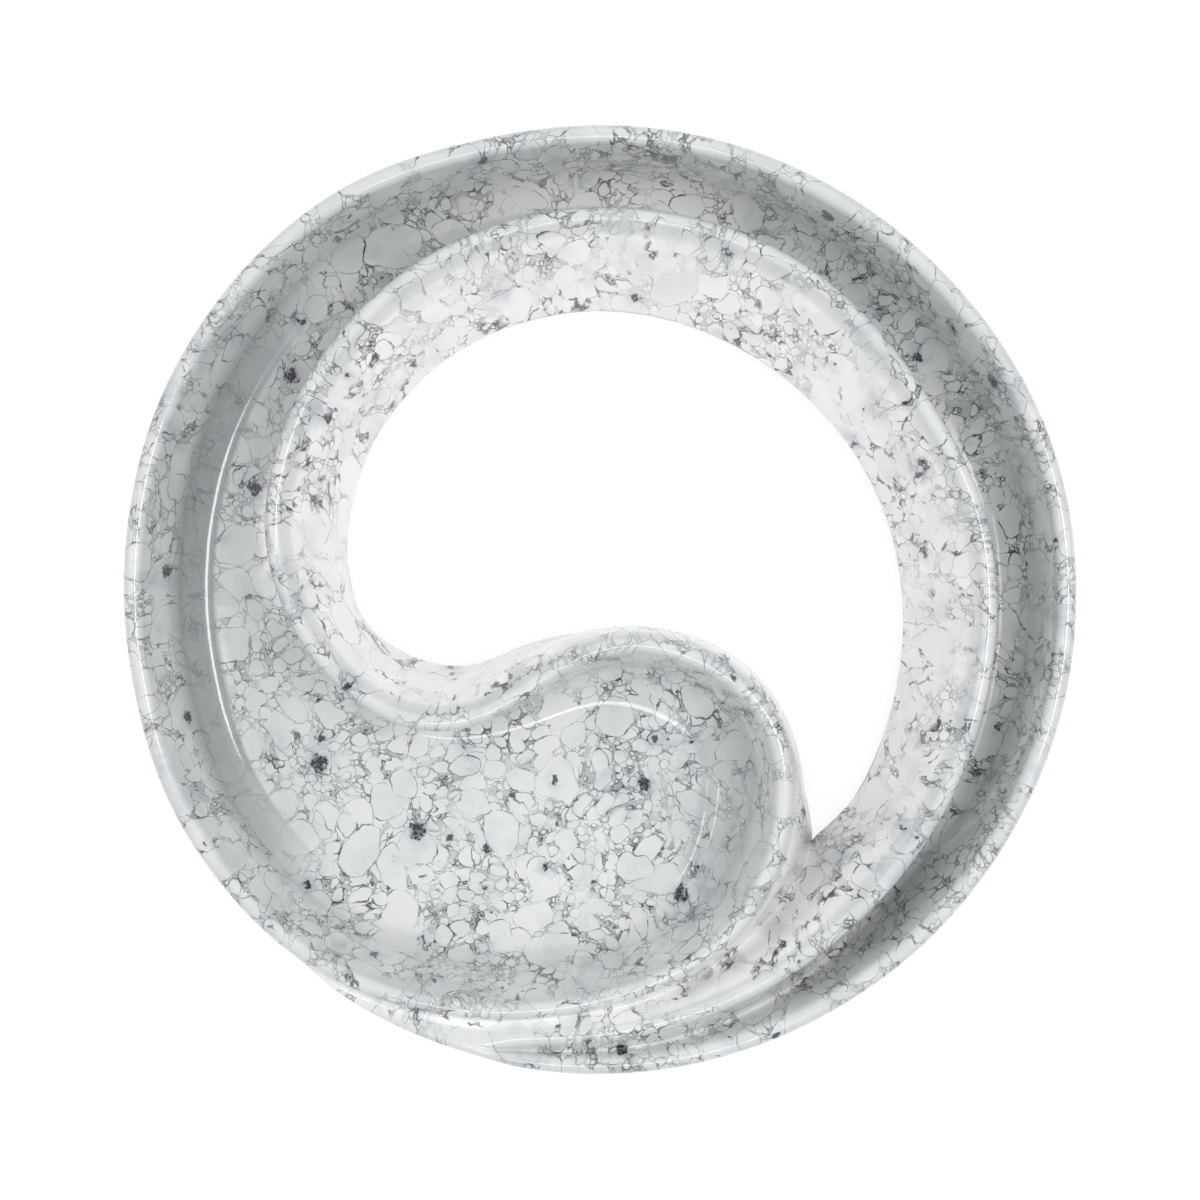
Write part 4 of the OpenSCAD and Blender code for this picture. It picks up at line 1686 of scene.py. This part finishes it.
    def plain(self, at: GlazePoint, tone: bpy.types.NodeSocket) -> bpy.types.NodeSocket:
        """Writes the nodes for the glaze's colour without lines and marks.

        Args:
            at: The point of the skin.
            tone: The bubble's tone.

        Returns:
            The colour.
        """
        sheet = at.sheet
        # Clear glaze turns to the brighter white, which is partly painted light.
        white = sheet.blend(sheet.ramp(at.clear, *self.bright_from), self.white, self.bright, "RGBA")
        dull = sheet.held(self.dullness.on(sheet, at.place), at.clear, self.dull_share)
        shade = sheet.math("MULTIPLY_ADD", tone, self.tone_share, dull, clamp=True)
        return sheet.blend(shade, white, self.shade, "RGBA")


@dataclass(frozen=True)
class GrainFinish:
    """A dull finish with a fine grain, for bare clay and for felt.

    Attributes:
        finish: Which finish it is.
        light: Its lighter colour.
        dark: Its darker colour.
        grain: The width of its grain, in mm.
        roughness: How rough it is.
        relief: How deep its grain looks, in mm.
        strength: How strong that relief is.
        smoother: How much less rough the grain's low places are.
        patches: The width of its broad patches, in mm.
        patch_share: How strong they are beside the grain.
    """

    finish: Finish
    light: tuple
    dark: tuple
    grain: float
    roughness: float
    relief: float
    strength: float = 0.6
    smoother: float = 0.08
    patches: float = 14.0
    patch_share: float = 0.6

    def build(self) -> bpy.types.Material:
        """Writes the finish's nodes.

        Returns:
            The material.
        """
        material, sheet, shader = new_material(self.finish)
        place = sheet.add("TexCoord").outputs["Object"]
        fine = sheet.noise(place, self.grain * MM, 4.0)
        broad = sheet.noise(place, self.patches * MM, 2.0)
        share = sheet.ramp(sheet.math("ADD", fine, sheet.times(broad, self.patch_share)), 0.6, 1.0)
        sheet.feed(shader.inputs["Base Color"], sheet.blend(share, self.light, self.dark, "RGBA"))
        roughness = sheet.ramp(fine, 0.3, 0.7, self.roughness - self.smoother, self.roughness)
        sheet.feed(shader.inputs["Roughness"], roughness)
        sheet.emboss(shader, self.strength, self.relief * MM, fine)
        return material


BARE_CLAY = GrainFinish(Finish.BARE_CLAY, (0.62, 0.58, 0.52, 1), (0.44, 0.40, 0.35, 1), 0.5, 0.95, 0.08)
FELT = GrainFinish(Finish.FELT, (0.16, 0.16, 0.17, 1), (0.07, 0.07, 0.075, 1), 0.3, 1.0, 0.2)


def new_material(finish: Finish) -> tuple[bpy.types.Material, NodeSheet, bpy.types.Node]:
    """Starts a material.

    Args:
        finish: The finish that it shows.

    Returns:
        The material, its sheet and its shader node.
    """
    material = bpy.data.materials.new(finish.value)
    material.use_nodes = True
    return material, NodeSheet(material.node_tree), material.node_tree.nodes["Principled BSDF"]


# Studio


@dataclass
class Studio:
    """The floor, the lights and the camera.

    Attributes:
        camera_height: The camera's height above the rims.
        frame_width: The width of the picture at the rims.
        rim_height: The height of the rims.
        sensor: The width of the camera's sensor, in mm.
        white_share: How bright the floor is by itself, where the camera sees it.
        shadow_share: How much of the light on the floor is added to that.
        floor_reach: How far the floor reaches to each side.
        floor_glow: How much light the floor gives by itself.
        floor_tone: How pale the floor is to all light but the camera's.
        glows: The soft glows of the surroundings.
    """

    camera_height: float = CAMERA_HEIGHT
    frame_width: float = 0.504
    rim_height: float = RIM_HEIGHT
    sensor: float = 36.0
    white_share: float = 0.86
    shadow_share: float = 0.16
    floor_reach: float = 40.0
    floor_glow: float = 0.15
    floor_tone: float = 0.85
    glows: tuple["Glow", ...] = field(default_factory=lambda: GLOWS)

    def build(self) -> None:
        """Sets up everything that isn't part of the bowl."""
        self.add_camera()
        self.add_floor()
        self.add_lights()

    def add_camera(self) -> None:
        """Puts the camera straight above the bowl, as in the photograph."""
        data = bpy.data.cameras.new("overhead")
        data.sensor_fit = "HORIZONTAL"
        data.sensor_width = self.sensor
        data.lens = self.sensor * self.camera_height / self.frame_width
        camera = add_object("overhead", data)
        camera.location = (0, 0, self.camera_height + self.rim_height)
        bpy.context.scene.camera = camera

    def add_floor(self) -> None:
        """Lays the plain floor."""
        bm = bmesh.new()
        bmesh.ops.create_grid(bm, x_segments=1, y_segments=1, size=self.floor_reach)
        floor = mesh_object("studio_floor", bm)
        floor.data.materials.append(self.floor_material())

    def floor_material(self) -> bpy.types.Material:
        """Writes the floor's nodes: white to the camera, with a faint shadow, and pale to all other light.

        Returns:
            The material.
        """
        material = bpy.data.materials.new("studio_floor")
        material.cycles.emission_sampling = "NONE"
        material.use_nodes = True
        material.node_tree.nodes.clear()
        sheet = NodeSheet(material.node_tree)
        bounce = sheet.add("BsdfDiffuse")
        bounce.inputs["Color"].default_value = (*([self.floor_tone] * 3), 1)
        glow = sheet.add("Emission")
        glow.inputs["Strength"].default_value = self.floor_glow
        pale = sheet.add("AddShader")
        sheet.feed(pale.inputs[0], bounce.outputs["BSDF"])
        sheet.feed(pale.inputs[1], glow.outputs["Emission"])
        white = sheet.add("Emission")
        white.inputs["Strength"].default_value = self.white_share
        both = sheet.add("AddShader")
        sheet.feed(both.inputs[0], white.outputs["Emission"])
        faint = sheet.add("BsdfDiffuse")
        faint.inputs["Color"].default_value = (*([self.shadow_share] * 3), 1)
        sheet.feed(both.inputs[1], faint.outputs["BSDF"])
        choice = sheet.add("MixShader")
        sheet.feed(choice.inputs["Fac"], sheet.add("LightPath").outputs["Is Camera Ray"])
        sheet.feed(choice.inputs[1], pale.outputs["Shader"])
        sheet.feed(choice.inputs[2], both.outputs["Shader"])
        sheet.feed(sheet.add("OutputMaterial").inputs["Surface"], choice.outputs["Shader"])
        return material

    def add_lights(self) -> None:
        """Lights the bowl by the soft glows of the surroundings, and by panels at three sides."""
        world = bpy.data.worlds.new("studio")
        world.use_nodes = True
        sheet = NodeSheet(world.node_tree)
        way = sheet.add("TexCoord").outputs["Generated"]
        light = 0.0
        for glow in self.glows:
            light = sheet.math("ADD", light, glow.strength_from(sheet, way))
        background = world.node_tree.nodes["Background"]
        background.inputs["Color"].default_value = (1, 1, 1, 1)
        sheet.feed(background.inputs["Strength"], light)
        bpy.context.scene.world = world
        for panel in PANELS:
            panel.build()


@dataclass(frozen=True)
class Glow:
    """A soft glow of the surroundings, brightest in one direction.

    Attributes:
        way: The direction in which it is brightest.
        focus: How fast it fades away from there.
        strength: How bright it is there.
    """

    way: tuple
    focus: float
    strength: float

    def strength_from(self, sheet: NodeSheet, way: bpy.types.NodeSocket) -> bpy.types.NodeSocket:
        """Writes the nodes for the glow's brightness.

        Args:
            sheet: The surroundings' nodes.
            way: The direction that is looked in.

        Returns:
            The brightness in that direction.
        """
        near = sheet.vector("DOT_PRODUCT", way, Vector(self.way).normalized()).outputs["Value"]
        lobe = sheet.math("POWER", sheet.math("MAXIMUM", near, 0.0), self.focus)
        return sheet.times(lobe, self.strength)


GLOWS = (
    Glow((0, 0.8, 0.6), 4, 1.34),
    Glow((0, -0.8, 0.6), 4, 0.98),
    Glow((-0.8, 0, 0.6), 4, 0.92),
    Glow((0.8, 0, 0.6), 4, 0.74),
    Glow((0.30, 0, 0.95), 12, 0.84),
)


@dataclass(frozen=True)
class Panel:
    """A soft lamp that faces the bowl.

    Attributes:
        name: Its name.
        azimuth: Its direction from the bowl, in degrees counter-clockwise from +X.
        elevation: Its height as an angle, in degrees.
        distance: How far it stands from the bowl.
        width: Its width.
        height: Its height.
        radiance: How bright it looks, where white is 1.
    """

    name: str
    azimuth: float
    elevation: float
    distance: float
    width: float
    height: float
    radiance: float

    def build(self) -> None:
        """Adds the lamp."""
        data = bpy.data.lights.new(self.name, "AREA")
        data.shape = "RECTANGLE"
        data.size, data.size_y = self.width, self.height
        data.energy = self.radiance * math.pi * self.width * self.height
        lamp = add_object(self.name, data)
        level = self.distance * math.cos(math.radians(self.elevation))
        x, y = polar(self.azimuth, level)
        lamp.location = (x, y, self.distance * math.sin(math.radians(self.elevation)))
        lamp.rotation_euler = (-lamp.location).to_track_quat("-Z", "Y").to_euler()


PANELS = (
    Panel("right_box", 0, 73, 1.5, 0.30, 0.24, 11),
    Panel("left_box", 180, 73, 1.5, 0.30, 0.08, 7.5),
    Panel("right_strip", 0, 48, 1.5, 0.26, 0.04, 14),
    Panel("left_strip", 180, 48, 1.5, 0.26, 0.04, 12),
    Panel("front_box", -90, 69, 1.5, 0.50, 0.24, 5.5),
)


def main() -> None:
    """Builds the bowl's pieces in order and reports each."""
    logging.basicConfig(level=logging.INFO, format="%(message)s")
    bpy.context.scene.view_settings.view_transform = "Standard"
    Studio().build()
    body = GlazedBody().build()
    body.data.materials.append(BubbleGlaze().build(body))
    clay, felt = BARE_CLAY.build(), FELT.build()
    dressed = [("outer_foot", clay), ("hole_foot", clay)]
    dressed += [(f"felt_pad_{k}", felt) for k in range(1, 7)]
    for node, material in dressed:
        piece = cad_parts[node]
        piece.data.materials.clear()
        piece.data.materials.append(material)
        log.info("%s dressed as %s", node, material.name)
    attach(body, "root")
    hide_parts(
        "floor_slab", "outer_wall", "basin_wall", "inner_wall", "hole_skirt", "tail_floor", "tail_tip",
        "outer_rim", "basin_rim", "inner_rim",
    )


if __name__ == "__main__":
    main()
